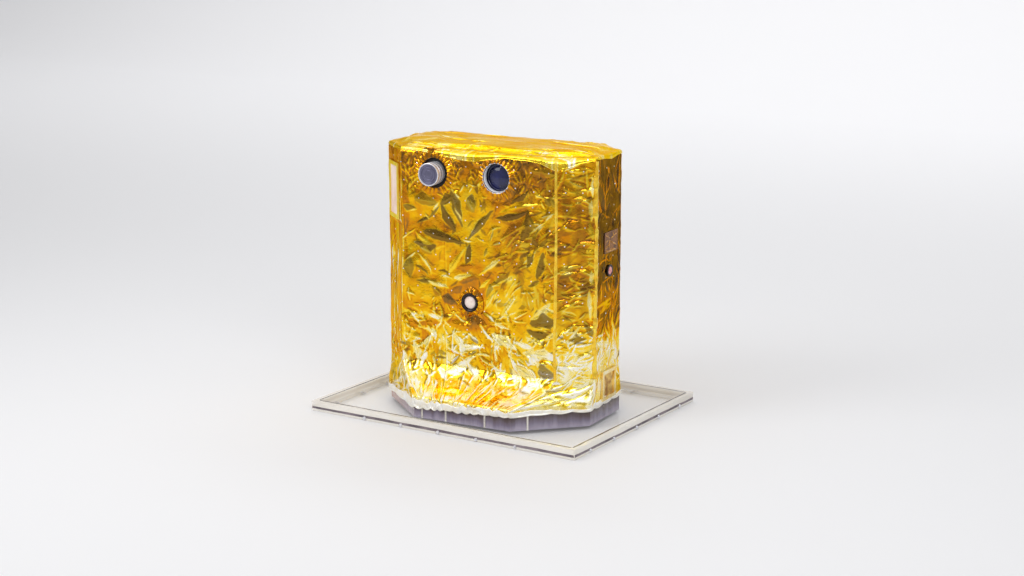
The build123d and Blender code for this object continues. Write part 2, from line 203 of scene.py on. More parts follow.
class Relief:
    """A height map of the film over two lengths, in millimetres, which folds are added to.

    across is the first length and up the second. A map that comes round again is made with
    margins, which are added to the far side when it is sealed.
    """

    def __init__(self, across, up, step, margin=0.0):
        self.start = np.array([across[0] - margin, up[0]])
        self.step = step
        self.margin = margin
        columns = int(round((across[1] - across[0] + 2 * margin) / step)) + 1
        rows = int(round((up[1] - up[0]) / step)) + 1
        self.span = across[1] - across[0]
        self.s = self.start[0] + step * np.arange(columns)
        self.z = self.start[1] + step * np.arange(rows)
        self.height = np.zeros((rows, columns))
        # Colour painted into the film: painted highlights below nought and painted shade above it, added to the tone;
        # then painted shade towards olive brown
        self.painted_light_and_shade = np.zeros((rows, columns))
        self.shade = np.zeros((rows, columns))

    def window(self, s0, s1, z0, z1):
        """Slices of the map that hold a box of it."""
        c = np.clip(np.floor((np.array([s0, s1]) - self.start[0]) / self.step).astype(int) + (0, 2), 0, len(self.s))
        r = np.clip(np.floor((np.array([z0, z1]) - self.start[1]) / self.step).astype(int) + (0, 2), 0, len(self.z))
        return slice(r[0], r[1]), slice(c[0], c[1])

    def leaf(self, s0, z0, s1, z1, width, height, bend=0.0, lean=0.5):
        """Adds a leaf-shaped fold from one point to another.

        Its crest runs between the points along a bow, the outline narrows to nothing at both
        ends, and the height falls in a straight line from the crest to the outline. lean says
        how much of the width lies on the crest's left.
        """
        reach = width + abs(bend)
        rows, columns = self.window(min(s0, s1) - reach, max(s0, s1) + reach, min(z0, z1) - reach, max(z0, z1) + reach)
        s, z = np.meshgrid(self.s[columns], self.z[rows])
        length = math.hypot(s1 - s0, z1 - z0)
        ds, dz = (s1 - s0) / length, (z1 - z0) / length
        t = ((s - s0) * ds + (z - z0) * dz) / length
        outline = np.clip(4 * t * (1 - t), 0, None)
        off = (z - z0) * ds - (s - s0) * dz - bend * outline
        flank = np.where(off > 0, off / (2 * width * lean), -off / (2 * width * (1 - lean)))
        self.height[rows, columns] += height * np.clip(outline - flank, 0, None) * (outline > 0)

    def leaf_place(self, s0, z0, s1, z1, width, bend):
        """Slices of a leaf's place, and how far its points lie inside the edge.

        One side runs along the bow with blunt ends, and the other is a flat triangle whose tip
        lies somewhere along the leaf, as where a facet ends at a ridge.
        """
        reach = width + abs(bend) + 3
        rows, columns = self.window(min(s0, s1) - reach, max(s0, s1) + reach, min(z0, z1) - reach, max(z0, z1) + reach)
        s, z = np.meshgrid(self.s[columns], self.z[rows])
        length = math.hypot(s1 - s0, z1 - z0)
        ds, dz = (s1 - s0) / length, (z1 - z0) / length
        t = ((s - s0) * ds + (z - z0) * dz) / length
        bow = np.clip(4 * t * (1 - t), 0, None)
        drawn = cell_values(s0, z0, 90, WAY_ROUND * 10)
        tip = 0.5 + 0.24 * cell_values(s0, z0, 91, WAY_ROUND * 10)
        triangle = np.minimum(t / tip, (1 - t) / (1 - tip)).clip(0, 1)
        off = ((z - z0) * ds - (s - s0) * dz - bend * bow) * (1 if drawn > 0 else -1)
        inset = np.minimum(0.8 * width * bow ** 0.6 + off, 1.4 * width * triangle ** 0.8 - off)
        return (rows, columns), np.where(bow > 0, inset, -9.0)

    def colour_leaf(self, values, s0, z0, s1, z1, width, value, bend):
        """Brings one of the maps to a value over a leaf, with a soft edge."""
        part, inset = self.leaf_place(s0, z0, s1, z1, width, bend)
        inside = np.clip(inset / LEAF_EDGE + 0.5, 0, 1)
        values[part] = values[part] * (1 - inside) + value * inside

    def calm_leaf(self, s0, z0, s1, z1, width, bend):
        """Lowers the relief under a leaf, the more the further inside its edge."""
        part, inset = self.leaf_place(s0, z0, s1, z1, width, bend)
        self.height[part] *= 1 - LEAF_CALM * np.clip(inset / (0.5 * width), 0, 1)

    def one_turn(self, values):
        """A map that comes round, brought to one turn: its margins are added to the far sides."""
        n = int(round(self.margin / self.step))
        core = values[:, n:-n].copy()
        core[:, -n - 1:] += values[:, : n + 1]
        core[:, : n + 1] += values[:, -n - 1:]
        core[:, -1] = core[:, 0] = (core[:, -1] + core[:, 0]) / 2
        return core

    def seal(self):
        """Brings all that the relief holds to one turn."""
        self.height, self.painted_light_and_shade, self.shade = (self.one_turn(m) for m in (self.height, self.painted_light_and_shade, self.shade))
        n = int(round(self.margin / self.step))
        self.s = self.s[n:-n]
        self.start[0] += n * self.step
        self.margin = 0.0

    def find_creases(self):
        """Marks crests with 1 and valleys with -1, from how sharply the height bends, averaged over nine points."""
        h = np.pad(self.height, 1, mode="edge")
        bend = h[2:, 1:-1] + h[:-2, 1:-1] + h[1:-1, 2:] + h[1:-1, :-2] - 4 * h[1:-1, 1:-1]
        bend = -bend / self.step ** 2 / CREASE_BEND
        wide = np.pad(np.sign(bend) * np.clip(np.abs(bend) - 0.2, 0, 1), 1, mode="edge")
        rows, columns = bend.shape
        nine = sum(wide[i:i + rows, j:j + columns] for i in range(3) for j in range(3))
        self.crease = np.clip(nine / 3, -1, 1)

    def at(self, s, z, values=None):
        """Height, or another map's value, at any places, straight between the map's points."""
        x = np.clip((s - self.start[0]) / self.step, 0, len(self.s) - 1.001)
        y = np.clip((z - self.start[1]) / self.step, 0, len(self.z) - 1.001)
        i, j = x.astype(int), y.astype(int)
        u, v = x - i, y - j
        h = self.height if values is None else values
        return (h[j, i] * (1 - u) + h[j, i + 1] * u) * (1 - v) + (h[j + 1, i] * (1 - u) + h[j + 1, i + 1] * u) * v


def scatter(relief, seed, count, place, lengths, slopes, widths, heights, both=0.25):
    """Adds many leaf-shaped folds at places drawn inside a box, with lengths, slopes and sizes drawn from ranges."""
    draw = np.random.default_rng(seed)
    s = draw.uniform(place[0], place[1], count)
    z = draw.uniform(place[2], place[3], count)
    length = lengths[0] + (lengths[1] - lengths[0]) * draw.random(count) ** 1.6
    angle = np.radians(draw.normal(slopes[0], slopes[1], count))
    width = length * draw.uniform(widths[0], widths[1], count)
    height = width * draw.uniform(heights[0], heights[1], count) * np.where(draw.random(count) < both, -1, 1)
    bend = length * draw.uniform(-0.16, 0.16, count)
    lean = draw.uniform(0.22, 0.78, count)
    ds, dz = np.cos(angle) * length / 2, np.sin(angle) * length / 2
    for row in np.stack([s - ds, z - dz, s + ds, z + dz, width, height, bend, lean], axis=1):
        relief.leaf(*row)


def near(s, z, place, reach):
    """1 inside a fitting's rectangle, falling to 0 over a length outside it."""
    ds = np.clip(np.abs(s - place[0]) - place[2], 0, None)
    dz = np.clip(np.abs(z - place[1]) - place[3], 0, None)
    return np.clip(1 - np.hypot(ds, dz) / reach, 0, 1)


def front_place(x):
    """Place round the body of a point on the front, from its x."""
    return x + BROAD_HALF_FLAT


# Close-ups of the photograph in which the folds below were read: the picture's column and row
# at the top left corner, and the enlargement
CLOSE_UPS = {
    "upper_left": (385, 185, 13.63), "upper_middle": (465, 185, 13.63), "upper_right": (553, 148, 15.375),
    "lower_left": (388, 285, 10.457), "lower_middle": (475, 285, 10.12),
    "right": (553, 245, 15.68), "lower_right": (553, 340, 15.68),
}
FACE_EDGES = (558.3, 597.0)   # picture columns of the upright corners at both sides of the front right face

# Folds that stand out on the faces in front and at the right, as leaves of film. Columns: column and
# row in the close-up of one end and of the other, half width, bow, and strength in hundredths.
# Each leaf's colour is painted light: amber folds are painted deeper as shade, dark ones are
# painted shade for the dark reflection where they turn away from the floor, and pale ones are
# painted highlights where they turn to it.
AMBER_FOLDS = {
    "upper_left": (
        (960, 1130, 1220, 1100, 48, 0, 24), (1010, 1330, 1215, 1250, 56, 0, 26),
        (880, 1480, 1050, 1380, 42, 0, 26), (260, -40, 280, 640, 52, 0, 22),
    ),
    "lower_left": (
        (560, 520, 660, 700, 50, 0, 8), (120, 850, 240, 920, 32, 0, 22),
        (780, 880, 860, 960, 23, 0, 20), (560, 1110, 820, 1130, 36, 0, 6),
        (215, 360, 320, 440, 46, 0, 28), (300, 390, 540, 390, 34, 0, 32),
        (370, 440, 385, 580, 28, 0, 26), (480, 540, 500, 720, 25, 0, 38),
        (450, 960, 560, 970, 44, 0, 30), (215, 1090, 290, 1150, 33, 0, 26),
        (560, 120, 720, 200, 46, 0, 35), (600, 380, 940, 480, 55, 0, 28),
        (720, 1210, 950, 1250, 20, 0, 20),
    ),
    "lower_middle": (
        (-20, 300, 140, 640, 78, 0, 30), (60, 280, 200, 420, 46, 0, 28),
        (240, 330, 500, 540, 56, 0, 14), (300, 580, 295, 1010, 25, 0, 32),
        (240, 600, 280, 800, 14, 0, 30), (370, 640, 430, 690, 19, 0, 30),
        (400, 720, 560, 840, 36, 0, 10), (150, 1190, 260, 1100, 28, 0, 20),
        (30, 1200, 100, 1180, 24, 0, 25), (20, 940, 100, 1000, 13, 0, 26),
    ),
    "upper_right": (
        (110, 300, 420, 230, 50, 0, 8), (510, 260, 540, 760, 32, 0, 4),
    ),
    "right": (
        (130, 560, 250, 680, 46, 0, 20), (130, 900, 260, 930, 46, 0, 12),
        (150, 1400, 240, 1480, 28, 0, 18),
    ),
    "lower_right": (
        (110, 130, 260, 160, 55, 0, 12), (240, 430, 340, 520, 28, 0, 6),
        (150, 880, 300, 650, 23, 0, 28), (110, 1010, 160, 1000, 36, 0, 10),
        (170, 980, 330, 1090, 14, 0, 20), (690, 430, 850, 260, 23, 0, 14),
    ),
}
DARK_FOLDS = {
    "upper_left": (
        (500, 615, 1085, 790, 58, 22, 45), (760, 265, 960, 640, 46, 0, 45),
        (890, 60, 1050, 580, 55, 0, 42), (745, 270, 930, 150, 52, 0, 42),
        (1190, 130, 1185, 375, 50, 0, 40), (415, 515, 610, 455, 22, 0, 45),
        (590, 450, 745, 285, 19, 0, 40), (400, 190, 720, 240, 75, 0, 30),
        (375, 770, 705, 830, 52, 12, 45), (470, 850, 640, 930, 40, 0, 22),
        (330, 960, 350, 1260, 60, 0, 32), (425, 1070, 610, 1230, 17, 0, 42),
        (425, 1310, 700, 1290, 26, 16, 42), (1150, 790, 1105, 1075, 40, 0, 45),
        (250, 270, 420, 330, 42, 0, 38), (640, 1380, 760, 1500, 36, 0, 25),
    ),
    "upper_middle": (
        (880, -200, 1226, -130, 52, 0, 30),
        (30, 750, 400, 340, 40, 0, 42), (430, 465, 860, 350, 44, 36, 50),
        (850, 340, 760, 780, 54, -36, 42), (470, 760, 830, 540, 66, 0, 20),
        (560, 860, 740, 640, 54, 0, 20), (620, 255, 880, 90, 32, 0, 45),
        (930, 890, 850, 1130, 46, 0, 42), (1075, 930, 985, 1310, 44, 0, 42),
        (740, 850, 920, 850, 20, 0, 40), (370, 1340, 580, 1265, 15, 0, 40),
        (350, 1340, 300, 1540, 33, 0, 30), (880, 1390, 1020, 1310, 22, 0, 42),
        (370, 820, 490, 800, 26, 0, 22), (400, 1010, 600, 950, 23, 0, 18),
        (860, 430, 960, 640, 38, 0, 35), (900, 700, 990, 850, 33, 0, 40),
        (1000, 850, 1150, 720, 28, 0, 35), (1080, 160, 1170, 300, 33, 0, 38),
        (1030, 450, 1230, 400, 28, 0, 25), (960, 670, 1060, 580, 19, 0, 40),
        (40, 200, 120, 370, 55, 0, 28), (1080, 1000, 1220, 1250, 56, 0, 12),
        (380, 600, 350, 780, 13, 0, 30), (300, 860, 265, 990, 13, 0, 30),
        (1160, 180, 1230, 330, 36, 0, 30),
    ),
    "lower_left": (
        (640, 850, 760, 715, 16, 0, 24), (820, 735, 930, 690, 14, 0, 32),
        (780, 990, 880, 1060, 14, 0, 26), (190, 580, 230, 650, 19, 0, 25),
        (230, 730, 280, 840, 18, 0, 24), (860, 540, 940, 620, 22, 0, 35),
    ),
    "lower_middle": (
        (555, 390, 825, 370, 82, 0, 42), (525, 465, 750, 505, 38, 12, 42),
        (630, 890, 805, 920, 58, 0, 38), (640, 820, 720, 860, 36, 0, 36),
        (710, 1060, 820, 1110, 17, 0, 30), (520, 60, 560, 260, 46, 0, 12),
        (640, 30, 640, 260, 38, 0, 12), (450, 1050, 540, 1120, 14, 0, 30),
        (480, 1150, 520, 1240, 19, 0, 26),
    ),
    "upper_right": (
        (150, 930, 200, 1160, 28, 0, 16),
    ),
    "right": (
        (105, 390, 290, 395, 21, 0, 30), (300, 640, 420, 700, 24, 0, 28),
        (130, 1090, 360, 1160, 19, 0, 26), (820, 1180, 910, 900, 28, 0, 10),
    ),
    "lower_right": (
        (870, 210, 955, 140, 14, 0, 10),
    ),
}
PALE_FOLDS = {
    "upper_left": (
        (225, 725, 410, 590, 16, 0, 30), (295, 1010, 415, 905, 15, 0, 36),
        (405, 905, 640, 1215, 18, -40, 30), (590, 1300, 880, 1410, 32, 0, 38),
        (930, 1260, 1190, 1225, 44, 0, 42), (860, 1200, 1080, 860, 46, 0, 20),
        (395, 620, 650, 800, 32, 20, 18), (1050, 745, 1195, 775, 13, 0, 36),
        (640, 345, 750, 210, 14, 0, 26), (530, 390, 605, 465, 13, 0, 26),
        (950, 300, 1075, 575, 11, 0, 22), (740, 1270, 930, 1290, 12, -30, 26),
        (330, 350, 420, 325, 13, 0, 36),
    ),
    "upper_middle": (
        (470, 380, 890, 290, 44, -30, 18), (700, 300, 1040, 270, 19, 0, 25),
        (185, 1230, 480, 1010, 38, 0, 30), (870, 670, 1110, 490, 16, 0, 28),
        (1060, 500, 1250, 385, 15, 0, 28), (1005, 625, 1090, 540, 12, 0, 42),
        (990, 800, 1150, 650, 21, -22, 28), (1120, 890, 1245, 870, 24, 0, 36),
        (730, 850, 890, 780, 30, 0, 26), (820, 730, 920, 705, 14, 0, 40),
        (190, 1410, 350, 1280, 25, 0, 30), (1030, 210, 1095, 340, 13, 0, 36),
        (940, 130, 1090, 190, 28, 0, 20), (540, 1540, 700, 1270, 54, 0, 12),
        (790, 1090, 840, 1010, 14, 0, 35), (850, 960, 950, 890, 28, 0, 15),
        (1180, 690, 1240, 600, 16, 0, 32), (1130, 760, 1210, 745, 11, 0, 38),
        (1050, 1340, 1240, 1310, 12, 0, 22), (380, 1370, 640, 1240, 13, 0, 25),
        (860, 385, 940, 395, 14, 0, 34), (670, 910, 850, 900, 28, 0, 15),
    ),
    "lower_left": (
        (420, 310, 570, 340, 21, 0, 42), (390, 650, 445, 520, 24, 0, 46),
        (335, 860, 405, 700, 28, 0, 46), (275, 580, 315, 790, 34, 0, 42),
        (165, 670, 190, 830, 38, 0, 42), (660, 480, 790, 700, 34, -12, 42),
        (740, 670, 950, 650, 38, 0, 42), (590, 910, 820, 880, 46, 0, 42),
        (830, 820, 930, 990, 38, 0, 42), (370, 1160, 500, 1050, 48, 0, 46),
        (290, 940, 300, 1090, 22, 0, 42), (445, 440, 510, 540, 24, 0, 46),
        (235, 880, 250, 1010, 16, 0, 42), (700, 860, 920, 740, 36, 0, 38),
        (520, 870, 600, 1000, 36, 0, 25), (140, 255, 250, 285, 14, 0, 26),
        (235, 280, 365, 440, 11, 0, 36), (350, 435, 450, 475, 11, 0, 36),
        (495, 455, 585, 330, 10, 0, 40), (575, 365, 640, 425, 9, 0, 34),
        (680, 280, 870, 415, 12, 20, 30), (290, 320, 440, 290, 20, 0, 15),
        (830, 500, 950, 590, 10, 0, 26),
    ),
    "lower_middle": (
        (165, 500, 430, 660, 52, 0, 42), (45, 390, 185, 590, 14, 0, 34),
        (385, 560, 600, 655, 25, 0, 44), (485, 690, 840, 745, 52, 0, 44),
        (560, 690, 650, 830, 38, 0, 40), (380, 800, 600, 975, 50, 0, 44),
        (390, 830, 400, 1000, 40, 0, 40), (230, 1180, 450, 1205, 36, 0, 40),
        (520, 1035, 630, 1040, 24, 0, 42), (320, 1120, 390, 1070, 28, 0, 40),
        (185, 800, 215, 950, 25, 0, 40), (195, 660, 240, 590, 18, 0, 42),
        (185, 400, 350, 450, 15, 0, 42), (90, 270, 210, 385, 12, 0, 42),
        (0, 690, 150, 720, 14, 0, 38), (600, 950, 690, 1110, 11, 0, 36),
        (515, 425, 770, 460, 20, 0, 14), (555, 350, 770, 190, 25, 0, 26),
        (715, 245, 830, 285, 10, 0, 40), (510, 520, 690, 605, 19, 0, 16),
        (680, 570, 830, 490, 16, 0, 26), (300, 640, 400, 820, 10, -10, 32),
        (590, 950, 640, 1060, 10, 0, 32), (200, 360, 430, 270, 12, 0, 16),
        (240, 370, 440, 90, 28, 0, 10), (100, 250, 210, 60, 28, 0, 16),
        (470, 1020, 560, 1120, 11, 0, 32), (590, 1270, 700, 1080, 12, 0, 32),
        (150, 960, 115, 1240, 14, 0, 32),
    ),
    "upper_right": (
        (100, 380, 430, 243, 17, 0, 42), (425, 243, 665, 165, 21, 0, 46),
        (100, 860, 330, 895, 17, 0, 40), (335, 872, 440, 840, 17, 0, 42),
        (620, 380, 610, 770, 26, 0, 40), (600, 780, 590, 1150, 44, 0, 42),
        (560, 1150, 625, 1400, 36, 0, 40), (500, 1250, 620, 1420, 10, 0, 30),
        (840, 290, 870, 400, 20, 0, 44), (880, 700, 930, 760, 14, 0, 20),
        (690, 760, 760, 1000, 22, 0, 14),
    ),
    "right": (
        (290, 85, 360, 35, 16, 0, 40), (300, 150, 400, 110, 25, 0, 20),
        (110, 340, 300, 345, 12, 0, 30), (120, 460, 330, 440, 21, 0, 30),
        (240, 500, 420, 620, 21, 0, 26), (280, 600, 420, 710, 15, 0, 42),
        (110, 720, 230, 770, 18, 0, 20), (110, 1045, 380, 1130, 16, -12, 36),
        (260, 1480, 410, 1300, 21, 0, 36), (340, 780, 410, 770, 14, 0, 24),
        (100, 1510, 340, 1530, 18, 0, 42), (510, 100, 650, 100, 74, 0, 22),
        (520, 220, 660, 210, 14, 0, 36), (540, 260, 660, 360, 36, 0, 26),
        (600, 400, 610, 640, 42, 0, 36), (560, 700, 590, 1200, 44, 0, 26),
        (720, 330, 850, 190, 10, 0, 48), (870, 260, 955, 150, 11, 0, 48),
        (830, 190, 880, 255, 10, 0, 48), (780, 590, 900, 500, 10, 0, 44),
        (890, 500, 930, 555, 9, 0, 42), (765, 620, 750, 900, 13, 0, 46),
        (680, 990, 920, 830, 30, 0, 44), (730, 1100, 870, 920, 26, 0, 28),
        (690, 1240, 800, 1130, 14, 0, 44), (940, 880, 950, 1560, 17, 0, 50),
        (700, 1440, 780, 1400, 18, 0, 50),
    ),
    "lower_right": (
        (110, 230, 400, 240, 21, 0, 44), (130, 320, 340, 420, 14, 0, 28),
        (130, 820, 300, 600, 25, 0, 44), (260, 860, 430, 860, 20, 0, 28),
        (290, 620, 600, 625, 12, 0, 28), (700, 60, 880, 60, 66, 0, 44),
        (690, 400, 860, 180, 46, 0, 60), (880, 380, 945, 200, 38, 0, 44),
    ),
}
LEAF_RISE = 0.09             # height of a leaf's crest against its half width
LEAF_CALM = 0.6              # share of the relief that a leaf takes away under it
RIM_FROM = 0.6               # strength from which a dark leaf has a rim of painted highlight
RIM = 1.3                    # reach of that rim
# how much paler the rim is painted, as a highlight
RIM_HIGHLIGHT = 0.16


DARK_SPREAD = 1.12           # width of a dark leaf against the width read
AMBER_DEPTH, DARK_DEPTH, DARK_MOST = 0.62, 2.0, 0.95
PALE_MOST = 0.3              # strongest painted highlight of a pale leaf above the lowest part
LOWEST_THIRD = 150.0


def film_places(column, row, face):
    """Places round the body and heights of the film's points that the picture shows at columns and rows.

    A ray from the camera through the picture's point meets the plane of its face, which moves out
    with the skirt. The height found gives the skirt's share for the next plane, until both settle.
    """
    eye = np.array(CAMERA_PLACE) / MM
    ahead = np.array(CAMERA_AIM) / np.linalg.norm(CAMERA_AIM)
    right = np.cross(ahead, (0.0, 0.0, 1.0))
    right /= np.linalg.norm(right)
    up = np.cross(right, ahead)
    across = (column - PICTURE[0] / 2) / (LENS / SENSOR * PICTURE[0])
    rise = (PICTURE[1] / 2 - row) / (LENS / SENSOR * PICTURE[0])
    ray = ahead + right * across[:, None] + up * rise[:, None]
    share = np.zeros(len(column))
    for _ in range(40):
        corners = outline_at(share)
        first, second = corners[np.arange(len(face)), face], corners[np.arange(len(face)), face + 1]
        along = second - first
        length = np.linalg.norm(along, axis=1)
        outward = np.stack([along[:, 1], -along[:, 0]], axis=1) / length[:, None]
        distance = (((first - eye[:2]) * outward).sum(1) - FILM_SINK) / (ray[:, :2] * outward).sum(1)
        spot = eye + ray * distance[:, None]
        share = (share + np.interp(spot[:, 2], [row[0] for row in SKIRT], [row[1] for row in SKIRT])) / 2
    part = ((spot[:, :2] - first) * along).sum(1) / length ** 2
    return np.stack([CORNER_PLACES[face] + part * FACE_LENGTHS[face], spot[:, 2]])


def leaves_of(folds):
    """A table's folds on the film: places round the body and heights of both ends, half width, bow, strength."""
    rows = np.array([CLOSE_UPS[name] + fold for name, part in folds.items() for fold in part], float).T
    corner, enlargement = rows[0:2], rows[2]
    first, last = corner + rows[3:5] / enlargement, corner + rows[5:7] / enlargement
    middle = (first + last) / 2
    face = np.searchsorted(FACE_EDGES, middle[0], side="right")
    along = (last - first) / np.linalg.norm(last - first, axis=0)
    across = np.stack([-along[1], along[0]])
    picture_places = (first, last, middle, middle + across * rows[7] / enlargement, middle + across * rows[8] / enlargement)
    start, end, centre, edge, bowed = (film_places(*place, face) for place in picture_places)
    way = (end - start) / np.linalg.norm(end - start, axis=0)
    square = np.stack([-way[1], way[0]])
    half = np.abs(((edge - centre) * square).sum(0))
    bow = ((bowed - centre) * square).sum(0)
    back = end[0] < start[0]
    start, end, bow = np.where(back, end, start), np.where(back, start, end), np.where(back, -bow, bow)
    return np.stack([*start, *end, half, bow, rows[9] / 100], axis=1)


def lay_leaves(relief):
    """Folds and colours the leaves of the three tables, on a relief that is calmer under each of them.

    A dark leaf has its crest low down, so that most of it faces up, and a pale leaf has it high
    up, so that most of it faces the floor.
    """
    for folds, lean in ((AMBER_FOLDS, 0.5), (DARK_FOLDS, 0.84), (PALE_FOLDS, 0.16)):
        for s0, z0, s1, z1, half, bow, strength in leaves_of(folds):
            if folds is DARK_FOLDS:
                half *= DARK_SPREAD
            relief.calm_leaf(s0, z0, s1, z1, half, bow)
            relief.leaf(s0, z0, s1, z1, half, LEAF_RISE * half, bow, lean)
            # A dark leaf is painted shade, the strongest with a painted highlight along its rim
            if folds is DARK_FOLDS:
                strength = min(DARK_DEPTH * strength, DARK_MOST)
                if strength >= RIM_FROM:
                    relief.colour_leaf(relief.painted_light_and_shade, s0, z0, s1, z1, half + RIM, -RIM_HIGHLIGHT, bow)
                relief.colour_leaf(relief.shade, s0, z0, s1, z1, half, strength, bow)
                continue
            # An amber leaf is painted deeper as shade, and a pale leaf paler as a highlight
            most = PALE_MOST if z0 > LOWEST_THIRD else 1.0
            tone = AMBER_DEPTH * strength if folds is AMBER_FOLDS else -min(strength, most)
            relief.colour_leaf(relief.painted_light_and_shade, s0, z0, s1, z1, half, tone, bow)
            relief.colour_leaf(relief.shade, s0, z0, s1, z1, half, 0.0, bow)


# Small leaves of painted shade and painted highlight between the leaves, for fine crumple.
# Columns: seed, count, box round and up, lengths, slope and its spread in degrees, and the share of pale ones
FLECKS = (
    (71, 150, (150, 246, 150, 330), (7, 28), (40, 40), 0.3),
    (72, 80, (8, 150, 185, 330), (7, 22), (70, 60), 0.25),
    (73, 170, (0, 248, 325, 384), (6, 22), (90, 50), 0.15),
    (74, 70, (252, 304, 120, 375), (10, 36), (8, 22), 0.35),
    (75, 80, (0, 246, 70, 150), (8, 26), (70, 60), 0.4),
    (76, 130, (447, 695, 70, 384), (14, 64), (50, 60), 0.35),
    (77, 50, (388, 446, 70, 380), (12, 50), (20, 50), 0.35),
    (78, 100, (696, 834, 70, 380), (12, 54), (60, 50), 0.35),
)
FLECK_WIDTHS = (0.07, 0.17)      # half widths, as shares of the lengths
FLECK_SHADES = (0.3, 0.85)
FLECK_PALES = (0.06, 0.2)


def lay_flecks(relief):
    """Colours small leaves at drawn places, most of them dark as painted shade and some pale as painted highlights, for
    fine crumple.
    """
    for seed, count, box, lengths, slopes, pale in FLECKS:
        draw = np.random.default_rng(seed)
        s, z = draw.uniform(box[0], box[1], count), draw.uniform(box[2], box[3], count)
        length = lengths[0] + (lengths[1] - lengths[0]) * draw.random(count) ** 1.6
        angle = np.radians(draw.normal(slopes[0], slopes[1], count))
        half = length * draw.uniform(*FLECK_WIDTHS, count)
        bow = length * draw.uniform(-0.15, 0.15, count)
        is_pale = draw.random(count) < pale
        value = np.where(is_pale, -draw.uniform(*FLECK_PALES, count), draw.uniform(*FLECK_SHADES, count))
        ds, dz = np.cos(angle) * length / 2, np.sin(angle) * length / 2
        rows = np.stack([s - ds, z - dz, s + ds, z + dz, half, value, bow], axis=1)
        for row, painted_pale in zip(rows, is_pale):
            relief.colour_leaf(relief.painted_light_and_shade if painted_pale else relief.shade, *row)


SEAM_CORNERS = (1, 2, 5, 6)


